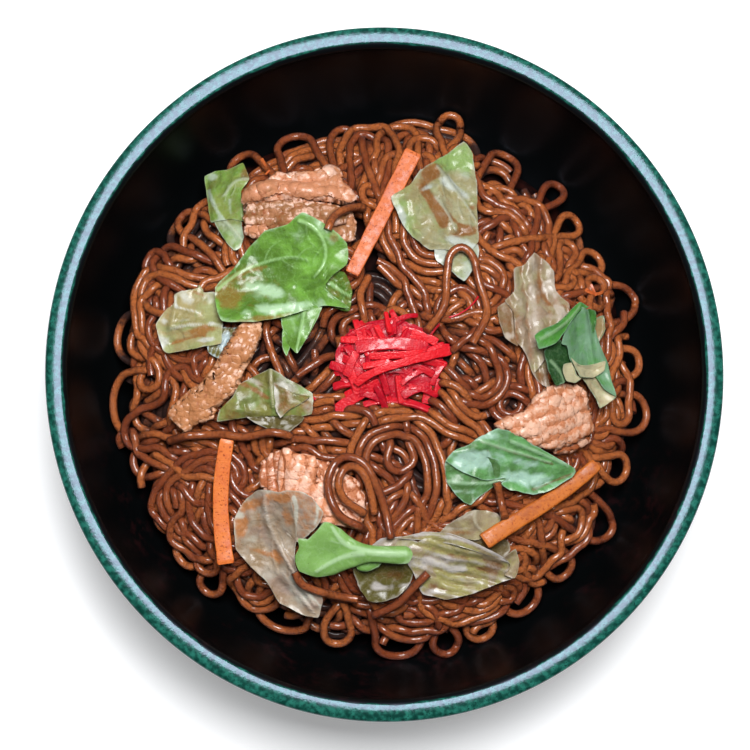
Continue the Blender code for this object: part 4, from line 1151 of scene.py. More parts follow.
def add_stick(shells, line, widths, thickness, corner, roll=(0, 0), step=0.8, rough=0.05, seed=0, **values):
    """A stick with flat cut ends; line in mm, widths at both ends, roll in degrees at both ends."""
    length = along_line(line, 10)[2]
    count = max(5, int(length / step))
    middle, ahead, _ = along_line(line, count)
    share = np.linspace(0, 1, count)
    level = np.cross(np.array([0.0, 0.0, 1.0]), ahead)
    level /= np.linalg.norm(level, axis=1, keepdims=True)
    upward = np.cross(ahead, level)
    turn = np.radians(roll[0] + (roll[1] - roll[0]) * share)[:, None]
    side = level * np.cos(turn) + upward * np.sin(turn)
    top = upward * np.cos(turn) - level * np.sin(turn)
    section = rounded_square(corner)
    sides = len(section)
    half = (widths[0] + (widths[1] - widths[0]) * share) / 2
    wobble = 1 + rough * layered_cloud(np.arange(count) * step, np.zeros(count), 4.0, seed)
    inset = 1 - 0.12 * np.isin(np.arange(count), (0, count - 1))
    across = (section[None, :, 0] * (half * wobble * inset)[:, None])[..., None]
    rise = (section[None, :, 1] * (thickness / 2 * inset)[:, None])[..., None]
    rings = middle[:, None] + across * side[:, None] + rise * top[:, None]
    points = np.concatenate([rings.reshape(-1, 3), middle[:1], middle[-1:]])
    number = np.arange(count * sides).reshape(count, sides)
    after = np.roll(number, -1, 1)
    faces = np.stack([number[:-1], after[:-1], after[1:], number[1:]], -1).reshape(-1, 4).tolist()
    first, last = count * sides, count * sides + 1
    faces += [[after[0, k], number[0, k], first] for k in range(sides)]
    faces += [[number[-1, k], after[-1, k], last] for k in range(sides)]
    shells.add(points, faces, **values)

# %% Carrot finish
def carrot_finish(name, flesh, deep, light):
    carrot = Finish(name, IOR=1.36, Specular_IOR_Level=0.35, Coat_IOR=1.45, Coat_Roughness=0.2)
    broad = carrot.noise(5 * MM, 3)
    fine = carrot.noise(0.5 * MM, 3, 0.6)
    grain = carrot.noise(1.3 * MM, 4, 0.6)
    colour = carrot.mix((broad + (grain - 0.5) * 0.8).ramp(0.35, 0.75), flesh, deep)
    colour = carrot.mix((fine + (grain - 0.5) * 0.5).ramp(0.55, 0.72) * 0.45, colour, light)
    pits = carrot.noise(0.75 * MM, 1).ramp(0.64, 0.7) * 0.85
    colour = carrot.mix(pits, colour, (140, 54, 22))
    height = fine + grain * 0.6 - pits * 0.5
    wet = carrot.noise(2.5 * MM).ramp(0.4, 0.62)
    return carrot.set(Base_Color=colour, Coat_Weight=wet * 0.35 + 0.08, Roughness=fine * 0.3 + 0.35,
                      Normal=carrot.bump(height, 0.3 * MM, 0.8))


def carrot(node, material, line, widths, thickness=4.6, corner=0.14):
    """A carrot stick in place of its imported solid; the line is in percent of its half box."""
    shells, drape = Shells(), Drape(node, 5.0)
    places = drape.place(line)
    heights = drape.at(places[:, 0], places[:, 1]) + 0.3
    add_stick(shells, np.c_[places, heights], widths, thickness, corner, seed=sum(map(ord, node)))
    piece = shells.piece(node + "_stick", material, 50)
    stand_for(piece, node)
    toppings.append(piece)

# %% Three carrot sticks
RAW_CUT = carrot_finish("carrot cut", (194, 100, 50), (176, 80, 34), (204, 124, 84))
BRIGHT_CUT = carrot_finish("carrot bright cut", (204, 108, 44), (188, 86, 28), (214, 130, 68))
GLAZED = carrot_finish("carrot glazed", (182, 99, 34), (156, 77, 24), (194, 122, 60))
carrot("carrot_1", RAW_CUT, [(-87, -94), (72, 92)], (5.4, 6.6))
carrot("carrot_2", BRIGHT_CUT, [(20, 97), (-25, 30), (-25, -30), (15, -98)], (5.4, 6.2))
carrot("carrot_3", GLAZED, [(-92, -82), (-50, -45), (0, -2), (43, 38), (88, 90)], (6.6, 5.0), 4.4, 0.35)

# %% [markdown]
# ## Red pickled ginger
# A pinch of ginger cut into flat strips a few millimetres wide, wet and bright red, deep
# magenta in the shadow between them. The strips lie every way over a smaller lumpy core, which
# is painted dark magenta as shade. The large ones on top are placed one by one, and short ones
# fill in below with chance turns.

# %% Ginger finish
# Large strips: places in percent of the heap's half box, width in mm, height in the heap 0 to 1.
GINGER_STRIPS = [
    ([(-38, -95), (10, -85), (62, -105)], 2.6, 0.1), ([(62, -30), (55, -90)], 3.4, 0.25),
    ([(75, -40), (70, -75)], 2.4, 0.3), ([(14, -35), (20, -90)], 3.4, 0.5),
    ([(-10, -50), (0, -85)], 2.2, 0.4), ([(-80, -105), (-40, -70), (-15, -50)], 4.4, 0.45),
    ([(-65, -75), (-35, -55)], 2.6, 0.55), ([(-88, -12), (-60, -25), (-30, -30)], 3.4, 0.5),
    ([(50, 0), (85, -15)], 3.6, 0.55), ([(-72, 38), (-30, 35), (10, 30)], 3.2, 0.6),
    ([(-50, 20), (10, 28), (55, 20)], 4.6, 0.75), ([(-30, 2), (20, 5), (50, 10)], 3.0, 0.8),
    ([(20, 60), (45, 50), (72, 33)], 3.0, 0.5), ([(30, 42), (60, 40)], 2.4, 0.6),
    ([(-45, 75), (-25, 45)], 2.4, 0.55), ([(2, 82), (5, 45)], 4.4, 0.65),
    ([(-5, 95), (0, 50)], 1.6, 0.75), ([(-20, 65), (-10, 35)], 2.4, 0.8),
    ([(-50, -55), (-20, -30), (30, -8), (92, 18)], 3.4, 1.0), ([(-40, -20), (0, -10)], 2.6, 0.9),
]
SHORT_STRIPS = 46


def ginger_finish():
    ginger = Finish("pickled ginger", IOR=1.38, Specular_IOR_Level=0.4, Coat_IOR=1.5, Coat_Roughness=0.12,
                    Subsurface_Weight=0.15, Subsurface_Scale=1.0 * MM, Subsurface_Radius=(1.0, 0.3, 0.3))
    tone = ginger.attribute("tone") + (ginger.noise(2.2 * MM, 3) - 0.5) * 0.8
    colour = ginger.mix(tone.ramp(0.15, 0.9), (168, 12, 34), (206, 26, 36))
    pale = ginger.noise(1.5 * MM, 4, 0.6).ramp(0.56, 0.75) * 0.3
    colour = ginger.mix(pale, colour, (220, 84, 92))
    fine = ginger.noise(0.7 * MM, 3)
    wet = ginger.noise(2 * MM).ramp(0.4, 0.6)
    return ginger.set(Base_Color=colour, Roughness=fine * 0.3 + 0.2, Coat_Weight=wet * 0.4 + 0.08,
                      Normal=ginger.bump(fine + ginger.noise(1.8 * MM, 3), 0.5 * MM, 0.8))

# %% Ginger heap
def ginger_heap():
    drape = Drape("ginger", 3.5)
    low = drape.low[2]
    shells = Shells()
    chance = random.Random(5)

    def height(x, y, level):
        crown = 8.5 * np.clip(1 - np.hypot(*drape.shares(x, y)) ** 2, 0, 1) ** 0.6
        return low + 2.2 + level * crown

    def strip(places, width, level, tone):
        heights = height(places[:, 0], places[:, 1], level)
        heights[0] -= chance.uniform(0, 0.8)
        heights[-1] -= chance.uniform(0, 0.8)
        roll = chance.uniform(-28, 28)
        widths, thickness = (width * chance.uniform(0.7, 1.1), width), chance.uniform(1.2, 1.7)
        rolls = (roll, roll + chance.uniform(-40, 40))
        add_stick(shells, np.c_[places, heights], widths, thickness, 0.3, rolls, 0.6, 0.12,
                  chance.randrange(999), tone=tone)

    for _ in range(SHORT_STRIPS):
        turn = chance.uniform(0, math.tau)
        reach = 0.85 * math.sqrt(chance.random())
        heading = chance.uniform(0, math.tau)
        x, y = reach * math.cos(turn), reach * math.sin(turn)
        dx, dy = 0.22 * math.cos(heading), 0.25 * math.sin(heading)
        places = drape.at_shares([(x - dx, y - dy), (x, y + 0.04), (x + dx, y + dy)])
        strip(places, chance.uniform(1.6, 3.4), chance.uniform(0.1, 0.75), chance.uniform(0.2, 0.8))
    for points, width, level in GINGER_STRIPS:
        strip(drape.place(points), width, level, chance.uniform(0.45, 1.0))

    x, y = (drape.middle[k] + share * 0.8 * drape.half[k] for k, share in enumerate(round_grid(40)))
    crown = height(x, y, 0.62) - 2.0 + 0.8 * layered_cloud(x, y, 3.0, 8)
    # The core has the lowest tone, the darkest magenta: painted shade under the strips.
    shells.add(*close_sheet(np.stack([x, y, (crown + low) / 2], -1), (crown - low) / 2), tone=-0.3)
    piece = shells.piece("ginger_strips", ginger_finish(), 50)
    stand_for(piece, "ginger")
    toppings.append(piece)


ginger_heap()

# %% [markdown]
# ## Where noodles may lie
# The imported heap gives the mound's surface, and the toppings lie on it. The noodles fill the
# space between a floor, which is a core some way below the mound's surface or the bowl's wall,
# and a ceiling, which is the mound's surface or the underside of a topping. Both are kept as
# grids of heights, found once with rays or from the curve of the bowl's wall, so that thousands
# of points can be looked up together.

# %% Height grids
CELL = 1.0
HALF_GRID = 132
NOODLE = 3.15               # room that a noodle takes, in mm
CORE_DEPTH = 9.4            # from the mound's surface down to the core, about three noodles
heap_low, heap_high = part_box("noodles")
HEAP_X = 1000 * (heap_low.x + heap_high.x) / 2
HEAP_Y = 1000 * (heap_low.y + heap_high.y) / 2
grid_line = np.arange(-HALF_GRID, HALF_GRID + CELL / 2, CELL)
grid_x, grid_y = np.meshgrid(grid_line, grid_line)


class Heights:
    """Heights in mm over a square grid round the bowl's middle."""

    def __init__(self, values):
        self.values = values

    def at(self, x, y):
        """Heights between the grid's points, for arrays of x and y in mm."""
        column = np.clip((x + HALF_GRID) / CELL, 0, self.values.shape[1] - 1.001)
        row = np.clip((y + HALF_GRID) / CELL, 0, self.values.shape[0] - 1.001)
        c, r = column.astype(int), row.astype(int)
        across, along = column - c, row - r
        lower = self.values[r, c] * (1 - across) + self.values[r, c + 1] * across
        upper = self.values[r + 1, c] * (1 - across) + self.values[r + 1, c + 1] * across
        return lower * (1 - along) + upper * along


def ray_heights(tree, upwards, empty):
    """Height of the first surface met by a ray at every grid point, or empty."""
    values = np.full(grid_x.shape, float(empty))
    start = -0.05 if upwards else 0.2
    heading = Vector((0, 0, 1 if upwards else -1))
    for place in np.ndindex(values.shape):
        hit = tree.ray_cast(Vector((grid_x[place] * MM, grid_y[place] * MM, start)), heading)[0]
        if hit is not None:
            values[place] = hit.z * 1000
    return values


def bowl_heights():
    """Height of the bowl's inside, from the same curve as its wall."""
    share = np.hypot(grid_x, grid_y / OUT_OF_ROUND) / (1000 * INSIDE_RADIUS)
    rise = 1 - (1 - np.minimum(share, 1) ** WALL_FULLNESS) ** (1 / WALL_BEND)
    top = 1000 * (BOWL_HEIGHT - LIP_DROP)
    return 1000 * FLOOR_HEIGHT + (top - 1000 * FLOOR_HEIGHT) * rise


in_bowl = bowl_heights()
mound = ray_heights(tree_of(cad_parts["noodles"]), False, 0)
topping_tree = tree_of(*toppings)
under_toppings = ray_heights(topping_tree, True, 1000)
over_toppings = ray_heights(topping_tree, False, 0)
beyond = mound <= 0
hills = 1.1 * layered_cloud(grid_x, grid_y, 22.0, 31)
free_height = np.where(beyond, in_bowl + 9, mound + 0.6 + hills)
ceiling = Heights(np.minimum(free_height, under_toppings - 0.2))
floor = Heights(np.maximum(in_bowl, np.where(beyond, 0, mound - CORE_DEPTH)))
print("mound from", round(mound[~beyond].min(), 1), "to", round(mound.max(), 1), "mm")

# %% [markdown]
# ## Routes of the noodles
# A noodle out of the pan lies in long easy bends, runs beside its neighbours for a while, and
# hooks back where it meets the edge of the heap. That could be drawn by hand, but a heap needs
# some thirty metres of it. Here each route grows point by point: its bend drifts at random,
# it leans towards the direction that bundles take in that part of the heap, and near the edge
# it turns back in a tight loop. A new noodle starts where the heap is still thin.

# %% Bundles and edge
STEP = 1.5                  # from one point of a route to the next
TOTAL_LENGTH = 30000.0
HOOK_EVERY = 105.0          # way between two hooks inside the heap, on average
EDGE_HOOK, INNER_HOOK = (4.6, 9.0), (5.4, 10.5)     # smallest and largest radius of a hook
BEND_DRIFT, BEND_FADES = 0.024, 14  # chance change of a route's bend, and the way that it lasts
LEAN = 0.05                 # how strongly a route turns towards its bundle
BUNDLE_REACH = 16.0         # how far a bundle's direction is felt
# Directions of the bundles: x and y from the heap's middle, in mm, and degrees from +X.
BUNDLES = [
    (-27, 82, 45), (-16, 91, 10), (-7, 74, 100), (26, 82, 60), (50, 67, -40), (61, 54, -60),
    (46, 54, -5), (61, 41, -65), (76, 30, 30), (89, 27, -80), (79, -10, 100), (65, -40, 20),
    (79, -29, -80), (65, -69, 40), (35, -86, 15), (13, -98, -10), (-9, -87, -15), (-34, -91, -25),
    (-53, -78, -25), (-71, -62, -50), (-86, -36, -45), (-75, -25, -30), (-93, -10, 95),
    (-86, 8, 100), (-78, 30, 70), (-62, 38, 5), (-69, 56, 70), (-12, -23, -5), (13, 27, -15),
    (26, 19, -50), (-16, 23, 70), (35, -14, -45), (17, -40, -70), (-14, -47, -60), (32, -36, 30),
]
bundle_x, bundle_y, bundle_turn = np.array(BUNDLES, float).T
draw = random.Random(11)


def bundle_direction(x, y):
    """Direction of the bundles near a point; a line's direction, so it repeats each half turn."""
    apart = (bundle_x - x) ** 2 + (bundle_y - y) ** 2
    weight = np.exp(-apart / (2 * BUNDLE_REACH ** 2)) + 1e-9
    twice = np.radians(2 * bundle_turn)
    return 0.5 * math.atan2((weight * np.sin(twice)).sum(), (weight * np.cos(twice)).sum())


def heap_reach(degrees):
    """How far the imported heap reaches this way; at the far side the noodles may lean out more."""
    turn = math.radians(degrees)
    near = np.abs((rim_turn - turn + math.pi) % math.tau - math.pi) < 0.07
    return rim_reach[near].max() + 5.5 * max(0, math.sin(turn))


PATCH = 4                   # size of a patch of the heap, in mm, for directions and cover
PATCHES = range(-120, 121, PATCH)
direction_grid = [[bundle_direction(x, y) for x in PATCHES] for y in PATCHES]
rim = np.array([vertex.co[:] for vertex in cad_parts["noodles"].data.vertices]) * 1000
rim_turn = np.arctan2(rim[:, 1] - HEAP_Y, rim[:, 0] - HEAP_X)
rim_reach = np.hypot(rim[:, 0] - HEAP_X, rim[:, 1] - HEAP_Y)
edge_reach = [heap_reach(degrees) for degrees in range(0, 360, 5)]


def patch_of(x, y):
    """Row and column of the patch nearest to a point."""
    return int((y + 122) / PATCH), int((x + 122) / PATCH)


def edge_at(x, y):
    """Share of the way from the heap's middle to its edge."""
    turn = (math.degrees(math.atan2(y, x)) % 360) / 5
    k = int(turn)
    reach = edge_reach[k % 72] * (1 - turn + k) + edge_reach[(k + 1) % 72] * (turn - k)
    return math.hypot(x, y) / reach

# %% Growing one route
def grow(x, y, heading, length):
    """One route as a list of points, from the heap's middle, in mm."""
    route = [(x, y)]
    bend, hook, hook_bend = 0.0, 0.0, 0.0
    # on the right the heap's side is steep, so routes turn back earlier there
    rightwards = max(0, math.cos(math.atan2(y, x) - math.radians(10)))
    rim_limit = draw.uniform(0.84, 0.95) - 0.07 * rightwards
    for _ in range(int(length / STEP)):
        ahead = edge_at(x + 8 * math.cos(heading), y + 8 * math.sin(heading))
        if hook <= 0 and ahead > rim_limit and ahead > edge_at(x, y):
            inwards = math.sin(math.atan2(-y, -x) - heading)
            radius = draw.uniform(*EDGE_HOOK)
            hook = radius * math.radians(draw.uniform(120, 215))
            hook_bend = math.copysign(1 / radius, inwards)
        elif hook <= 0 and draw.random() < STEP / HOOK_EVERY:
            radius = draw.uniform(*INNER_HOOK)
            hook = radius * math.radians(draw.uniform(90, 300))
            hook_bend = draw.choice((-1, 1)) / radius
        if hook > 0:
            hook -= STEP
            heading += hook_bend * STEP
        else:
            row, column = patch_of(x, y)
            lean = direction_grid[row][column]
            bend += -bend / BEND_FADES * STEP + draw.gauss(0, BEND_DRIFT) * math.sqrt(STEP)
            heading += (bend + LEAN * math.sin(2 * (lean - heading))) * STEP
        x += STEP * math.cos(heading)
        y += STEP * math.sin(heading)
        if edge_at(x, y) > 1.0:
            return route[:-8]
        route.append((x, y))
    return route


def respaced(path, step):
    """The same path with points one step apart."""
    lengths = walked(path)
    return points_after(path, lengths, np.arange(0, lengths[-1], step))


def beside(route, offset):
    """A route that runs beside another one, smoothed where the bend is tight."""
    along = np.gradient(route, axis=0)
    along /= np.linalg.norm(along, axis=1, keepdims=True) + 1e-9
    moved = route + offset * np.stack([-along[:, 1], along[:, 0]], 1)
    for _ in range(4):
        moved[1:-1] = (moved[:-2] + 2 * moved[1:-1] + moved[2:]) / 4
    return respaced(moved, STEP)

# %% Growing all routes
def thin_spot(cover):
    """Of forty chance places the one with the fewest noodles on the patches round it."""
    spots = []
    for _ in range(40):
        turn, reach = draw.uniform(0, math.tau), 95 * math.sqrt(draw.random())
        spots.append((reach * math.cos(turn), reach * math.sin(turn)))
    wide = cover[:-2] + cover[1:-1] + cover[2:]
    wide = wide[:, :-2] + wide[:, 1:-1] + wide[:, 2:]
    return min(spots, key=lambda spot: wide[int((spot[1] + 118) / PATCH), int((spot[0] + 118) / PATCH)])


def plan_routes():
    """Routes of TOTAL_LENGTH in all; some have companions that run along one side or both."""
    last = len(PATCHES) - 1
    cover = np.zeros((last + 1, last + 1))
    planned, laid = [], 0.0
    while laid < TOTAL_LENGTH:
        x, y = thin_spot(cover)
        heading = bundle_direction(x, y) + draw.gauss(0, 0.5) + draw.choice((0, math.pi))
        leader = np.array(grow(x, y, heading, draw.uniform(80, 330)))
        if len(leader) < 30:
            continue
        family = [leader]
        for side in draw.choice(((), (), (1,), (-1,), (1, -1))):
            start = draw.randrange(0, len(leader) // 3)
            end = draw.randrange(2 * len(leader) // 3, len(leader))
            family.append(beside(leader[start:end], side * NOODLE * 1.04))
        planned += family
        for route in family:
            laid += STEP * len(route)
            for row, column in (patch_of(*point) for point in route[::2]):
                for up_by, over_by, weight in ((0, 0, 1), (1, 0, 0.3), (0, 1, 0.3)):
                    cover[min(last, row + up_by), min(last, column + over_by)] += weight
    return planned


routes = plan_routes()
print(len(routes), "noodles,", round(sum(len(route) for route in routes) * STEP / 1000, 1), "m")

# %% [markdown]
# ## Loops at the edge
# What makes the heap's outline are single loops that stick out over the black wall. They are
# chosen one by one: where round the heap, how far out, how wide and how deep, and whether the
# two legs cross, which makes a closed ring, or part, which makes an open bow.

# %% Loops at the edge
# Degrees round the heap from +X, outer reach, width and depth in mm, crossed or open.
EDGE_LOOPS = [
    (19, 105, 15, 24, False), (30, 98, 11, 13, True), (40, 100, 10, 12, True), (48, 106, 9, 15, True),
    (61, 104, 14, 16, False), (75, 109, 11, 15, True), (86, 101, 16, 12, False), (98, 102, 13, 22, False),
    (110, 103, 15, 12, False), (122, 105, 12, 12, False), (140, 101, 11, 18, False), (151, 99, 13, 12, False),
    (159, 98, 14, 16, False), (171, 96, 13, 14, True), (186, 102, 26, 15, False), (199, 99, 14, 12, False),
    (213, 100, 14, 15, True), (222, 102, 13, 12, False), (230, 104, 11, 11, True), (240, 96, 11, 12, True),
    (247, 101, 22, 12, False), (260, 101, 12, 14, True), (274, 104, 18, 10, False), (284, 106, 11, 12, True),
    (292, 105, 12, 12, True), (303, 103, 15, 11, False), (314, 102, 13, 13, True), (327, 105, 16, 20, False),
    (340, 100, 12, 13, True), (353, 103, 15, 17, False), (5, 100, 12, 12, False),
]


def curve_through(points, step):
    """A smooth open path through given points, in even steps."""
    p = np.array(points, float)
    p = np.r_[2 * p[:1] - p[1:2], p, 2 * p[-1:] - p[-2:-1]]
    t = np.linspace(0, 1, 12, endpoint=False)[None, :, None]
    a, b, c, d = p[:-3, None], p[1:-2, None], p[2:-1, None], p[3:, None]
    fine = b + t * ((c - a) / 2 + t * ((2 * a - 5 * b + 4 * c - d) / 2 + t * (3 * b - a - 3 * c + d) / 2))
    return respaced(np.r_[fine.reshape(-1, 2), p[-2:-1]], step)


def edge_loop(degrees, reach, width, depth, crossed):
    """Route of one loop from the heap's middle: outward along its leg, round, and back."""
    half = width / 2
    if crossed:
        leg = [(-depth - 30, -12), (-depth - 18, -9), (-depth - 6, -2), (-0.7 * depth, 0.8 * half)]
    else:
        leg = [(-depth - 30, -half - 10), (-depth - 16, -half - 4), (-depth - 4, -half)]
        leg += [(-0.7 * depth, -half)]
    side = 1 if crossed else -1
    leg += [(-0.35 * depth, side * half), (-0.08 * depth, side * 0.6 * half)]
    back = [(out, -across * draw.uniform(0.85, 1.1)) for out, across in reversed(leg)]
    turn = math.radians(degrees)
    outward = np.array([math.cos(turn), math.sin(turn)])
    sideways = np.array([-math.sin(turn), math.cos(turn)])
    loop = [(reach + out) * outward + across * sideways for out, across in leg + [(0, 0)] + back]
    return curve_through(loop, STEP)


edge_loops = [edge_loop(*row) for row in EDGE_LOOPS]

# %% [markdown]
# ## Settling
# The routes cross each other, and two noodles can't be in one place. A physics engine could
# drop them, but thousands of soft contacts are slow. Position-based settling is quick: every
# point is moved a little, again and again, until the noodles hardly overlap, none has stretched
# or kinked, and all are between floor and ceiling. Each point also keeps towards its own level,
# so the heap stays as full as it should.

# %% Contacts
def near_pairs(points, strand, reach):
    """Pairs of points closer than reach, but not close neighbours on one noodle."""
    cell = np.floor(points / reach).astype(np.int64) + 100
    key = (cell[:, 0] * 512 + cell[:, 1]) * 512 + cell[:, 2]
    order = np.argsort(key, kind="stable")
    ordered = key[order]
    numbers = np.arange(len(points))
    firsts, seconds = [], []
    for across in (-1, 0, 1):
        for along in (-1, 0, 1):
            wanted = key + (across * 512 + along) * 512
            start = np.searchsorted(ordered, wanted - 1, "left")
            count = np.searchsorted(ordered, wanted + 1, "right") - start
            first = np.repeat(numbers, count)
            skip = np.arange(count.sum()) - np.repeat(np.cumsum(count) - count, count)
            second = order[np.repeat(start, count) + skip]
            keep = (first < second) & ((strand[first] != strand[second]) | (second - first > 3))
            firsts.append(first[keep])
            seconds.append(second[keep])
    first, second = np.concatenate(firsts), np.concatenate(seconds)
    close = ((points[first] - points[second]) ** 2).sum(1) < reach ** 2
    return first[close], second[close]


def shared(count, first, second, move):
    """Sum of moves for each point: one end gets the move, the other its opposite."""
    columns = [np.bincount(second, column, count) - np.bincount(first, column, count) for column in move.T]
    return np.stack(columns, 1)


def room_for(points, least):
    """Lowest and highest middle that a noodle may have at each point, at least this far apart."""
    low = floor.at(points[:, 0], points[:, 1]) + NOODLE / 2
    return low, np.maximum(ceiling.at(points[:, 0], points[:, 1]) - NOODLE / 2, low + least)

# %% Settling
ROUNDS = 170
TO_LEVEL = 0.05             # share of the way to its level that a point goes in a round
APART, TO_LENGTH = 0.9, 1.2     # shares of an overlap and of a wrong length put right each time
CLIMB = 0.5                 # how much of a push apart goes up or down, by the two levels
STRAIGHTEN_UP, STRAIGHTEN_ASIDE, STRAIGHTEN_LAST = 0.25, 0.1, 0.4


def settle(points, strand, level, hold):
    """Move the points until the noodles lie apart; hold is how firmly each keeps its route."""
    count = len(points)
    plan = points[:, :2].copy()
    # a noodle keeps its length from point to point, and over wider gaps the span of its plan
    rules = []
    for gap, strength in ((1, 1.0), (2, 0.5), (4, 0.4), (8, 0.3)):
        start = np.flatnonzero(strand[:-gap] == strand[gap:])
        span = np.linalg.norm(plan[start + gap] - plan[start], axis=1)
        if gap == 1:
            span = np.full(len(start), STEP)
        ends = np.bincount(np.r_[start, start + gap], minlength=count).clip(1)
        rules.append((start, gap, span, strength, ends[:, None]))
    skips = rules[1][0]
    for turn in range(ROUNDS):
        low, high = room_for(points, 0.1)
        wanted = low + (high - low) * level
        points[:, 2] += TO_LEVEL * (wanted - points[:, 2])
        points[:, :2] += hold[:, None] * (plan - points[:, :2])
        if turn % 8 == 0:
            first, second = near_pairs(points, strand, NOODLE + 1.4)
            above = np.sign(level[second] - level[first])
        for _ in range(2):
            apart = points[second] - points[first]
            distance = np.linalg.norm(apart, axis=1) + 1e-6
            overlap = np.maximum(NOODLE - distance, 0)
            touching = overlap > 0
            way = apart[touching] / distance[touching, None]
            way[:, 2] += CLIMB * above[touching]
            way /= np.linalg.norm(way, axis=1, keepdims=True) + 1e-6
            a, b = first[touching], second[touching]
            touches = np.bincount(np.r_[a, b], minlength=count).clip(1)
            moves = shared(count, a, b, way * (overlap[touching, None] / 2))
            points += APART * moves / np.sqrt(touches)[:, None]
            for start, gap, span, strength, ends in rules:
                apart = points[start + gap] - points[start]
                distance = np.linalg.norm(apart, axis=1) + 1e-6
                move = apart * (strength * (span - distance) / distance / 2)[:, None]
                points += shared(count, start, start + gap, move) / ends * TO_LENGTH
        middle = (points[skips] + points[skips + 2]) / 2 - points[skips + 1]
        aside = STRAIGHTEN_ASIDE if turn < ROUNDS - 10 else STRAIGHTEN_LAST
        points[skips + 1, 2] += STRAIGHTEN_UP * middle[:, 2]
        points[skips + 1, :2] += aside * middle[:, :2]
        np.clip(points[:, 2], low, high, out=points[:, 2])
    overlap = np.maximum(NOODLE - np.linalg.norm(points[second] - points[first], axis=1), 0)
    print("deepest overlap", round(float(overlap.max()), 2), "mm; mean of overlaps",
          round(float(overlap[overlap > 0].mean()), 2), "mm")
    return points

# %% Stack the routes and settle them
def stacked():
    """All routes as one array of points, with strand number, level in the heap and hold."""
    parts = []
    for number, route in enumerate(routes + edge_loops):
        along = np.arange(len(route)) * STEP
        wave = 0.22 * np.sin(along / draw.uniform(45, 90) * math.tau + draw.uniform(0, math.tau))
        if number < len(routes):
            level = np.clip(number / len(routes) + wave, 0, 1)
            hold = 0.02
        else:
            ends = np.minimum(along, along[::-1]) / 26
            level = np.clip(draw.uniform(0.1, 0.5) + 0.55 * ends, 0, 0.85)
            hold = 0.3
        same = np.ones(len(route))
        parts.append(np.c_[route + [HEAP_X, HEAP_Y], 0 * same, number * same, level, hold * same])
    whole = np.concatenate(parts)
    return whole[:, :3], whole[:, 3].astype(int), whole[:, 4], whole[:, 5]


points, strand, level, hold = stacked()
lowest, highest = room_for(points, 0)
points[:, 2] = lowest + (highest - lowest) * level
points = settle(points, strand, level, hold)
print(len(points), "points")

# %% [markdown]
# ## From routes to noodles
# A noodle is its route with a nearly round section swept along it. Geometry Nodes do this for
# all noodles at once: the points become smooth curves, each with its own thickness, and the
# section follows them. What a finish needs later, such as a noodle's own tone, travels along
# as an attribute. The result is turned into a plain mesh.

# %% Sweep
THICKNESS = 3.2             # of a noodle of average girth, in mm


def sweep_tree(material):
    """Geometry Nodes: smooth the polylines of a mesh and sweep a section along them."""
    tree = bpy.data.node_groups.new("sweep along routes", "GeometryNodeTree")
    face = tree.interface
    face.new_socket("Geometry", in_out="INPUT", socket_type="NodeSocketGeometry")
    inputs = {}
    for label, kind in (("Thickness", "Float"), ("Spacing", "Float"), ("Sides", "Int")):
        inputs[label] = face.new_socket(label, in_out="INPUT", socket_type="NodeSocket" + kind)
    face.new_socket("Geometry", in_out="OUTPUT", socket_type="NodeSocketGeometry")

    def step(kind, inputs=None, **settings):
        made = tree.nodes.new(kind)
        for setting, value in settings.items():
            setattr(made, setting, value)
        for socket, value in (inputs or {}).items():
            if isinstance(value, bpy.types.NodeSocket):
                tree.links.new(value, made.inputs[socket])
            else:
                made.inputs[socket].default_value = value
        return made.outputs

    start = step("NodeGroupInput")
    curve = step("GeometryNodeMeshToCurve", {"Mesh": start["Geometry"]})["Curve"]
    curve = step("GeometryNodeCurveSplineType", {"Curve": curve}, spline_type="CATMULL_ROM")["Curve"]
    evenly = {"Curve": curve, "Length": start["Spacing"]}
    curve = step("GeometryNodeResampleCurve", evenly, mode="LENGTH")["Curve"]
    girth = step("GeometryNodeInputNamedAttribute", {"Name": "girth"}, data_type="FLOAT")["Attribute"]
    curve = step("GeometryNodeSetCurveRadius", {"Curve": curve, "Radius": girth})["Curve"]
    half = step("ShaderNodeMath", {0: start["Thickness"], 1: 0.5}, operation="MULTIPLY")["Value"]
    round_line = {"Resolution": start["Sides"], "Radius": half}
    section = step("GeometryNodeCurvePrimitiveCircle", round_line)["Curve"]
    along = {"Curve": curve, "Profile Curve": section, "Fill Caps": True}
    noodles = step("GeometryNodeCurveToMesh", along)["Mesh"]
    whole = step("GeometryNodeRealizeInstances", {"Geometry": noodles})["Geometry"]
    painted = step("GeometryNodeSetMaterial", {"Geometry": whole, "Material": material})["Geometry"]
    step("NodeGroupOutput", {"Geometry": painted})
    return tree, inputs


def swept(name, points, strand, values, spacing, sides, material):
    """All noodles of one piece as a plain mesh; points in mm, values are named attributes."""
    links = np.flatnonzero(strand[:-1] == strand[1:])
    mesh = bpy.data.meshes.new(name)
    mesh.from_pydata((points * MM).tolist(), np.c_[links, links + 1].tolist(), [])
    for label, numbers in values.items():
        store(mesh, label, numbers)
    route = place_object(name, mesh)
    tree, inputs = sweep_tree(material)
    modifier = route.modifiers.new("sweep", "NODES")
    modifier.node_group = tree
    modifier[inputs["Thickness"].identifier] = THICKNESS * MM
    modifier[inputs["Spacing"].identifier] = spacing * MM
    modifier[inputs["Sides"].identifier] = sides
    evaluated = route.evaluated_get(bpy.context.evaluated_depsgraph_get())
    plain = bpy.data.meshes.new_from_object(evaluated)
    route.modifiers.clear()
    bpy.data.objects.remove(route)
    return shaded(name, plain, 65)
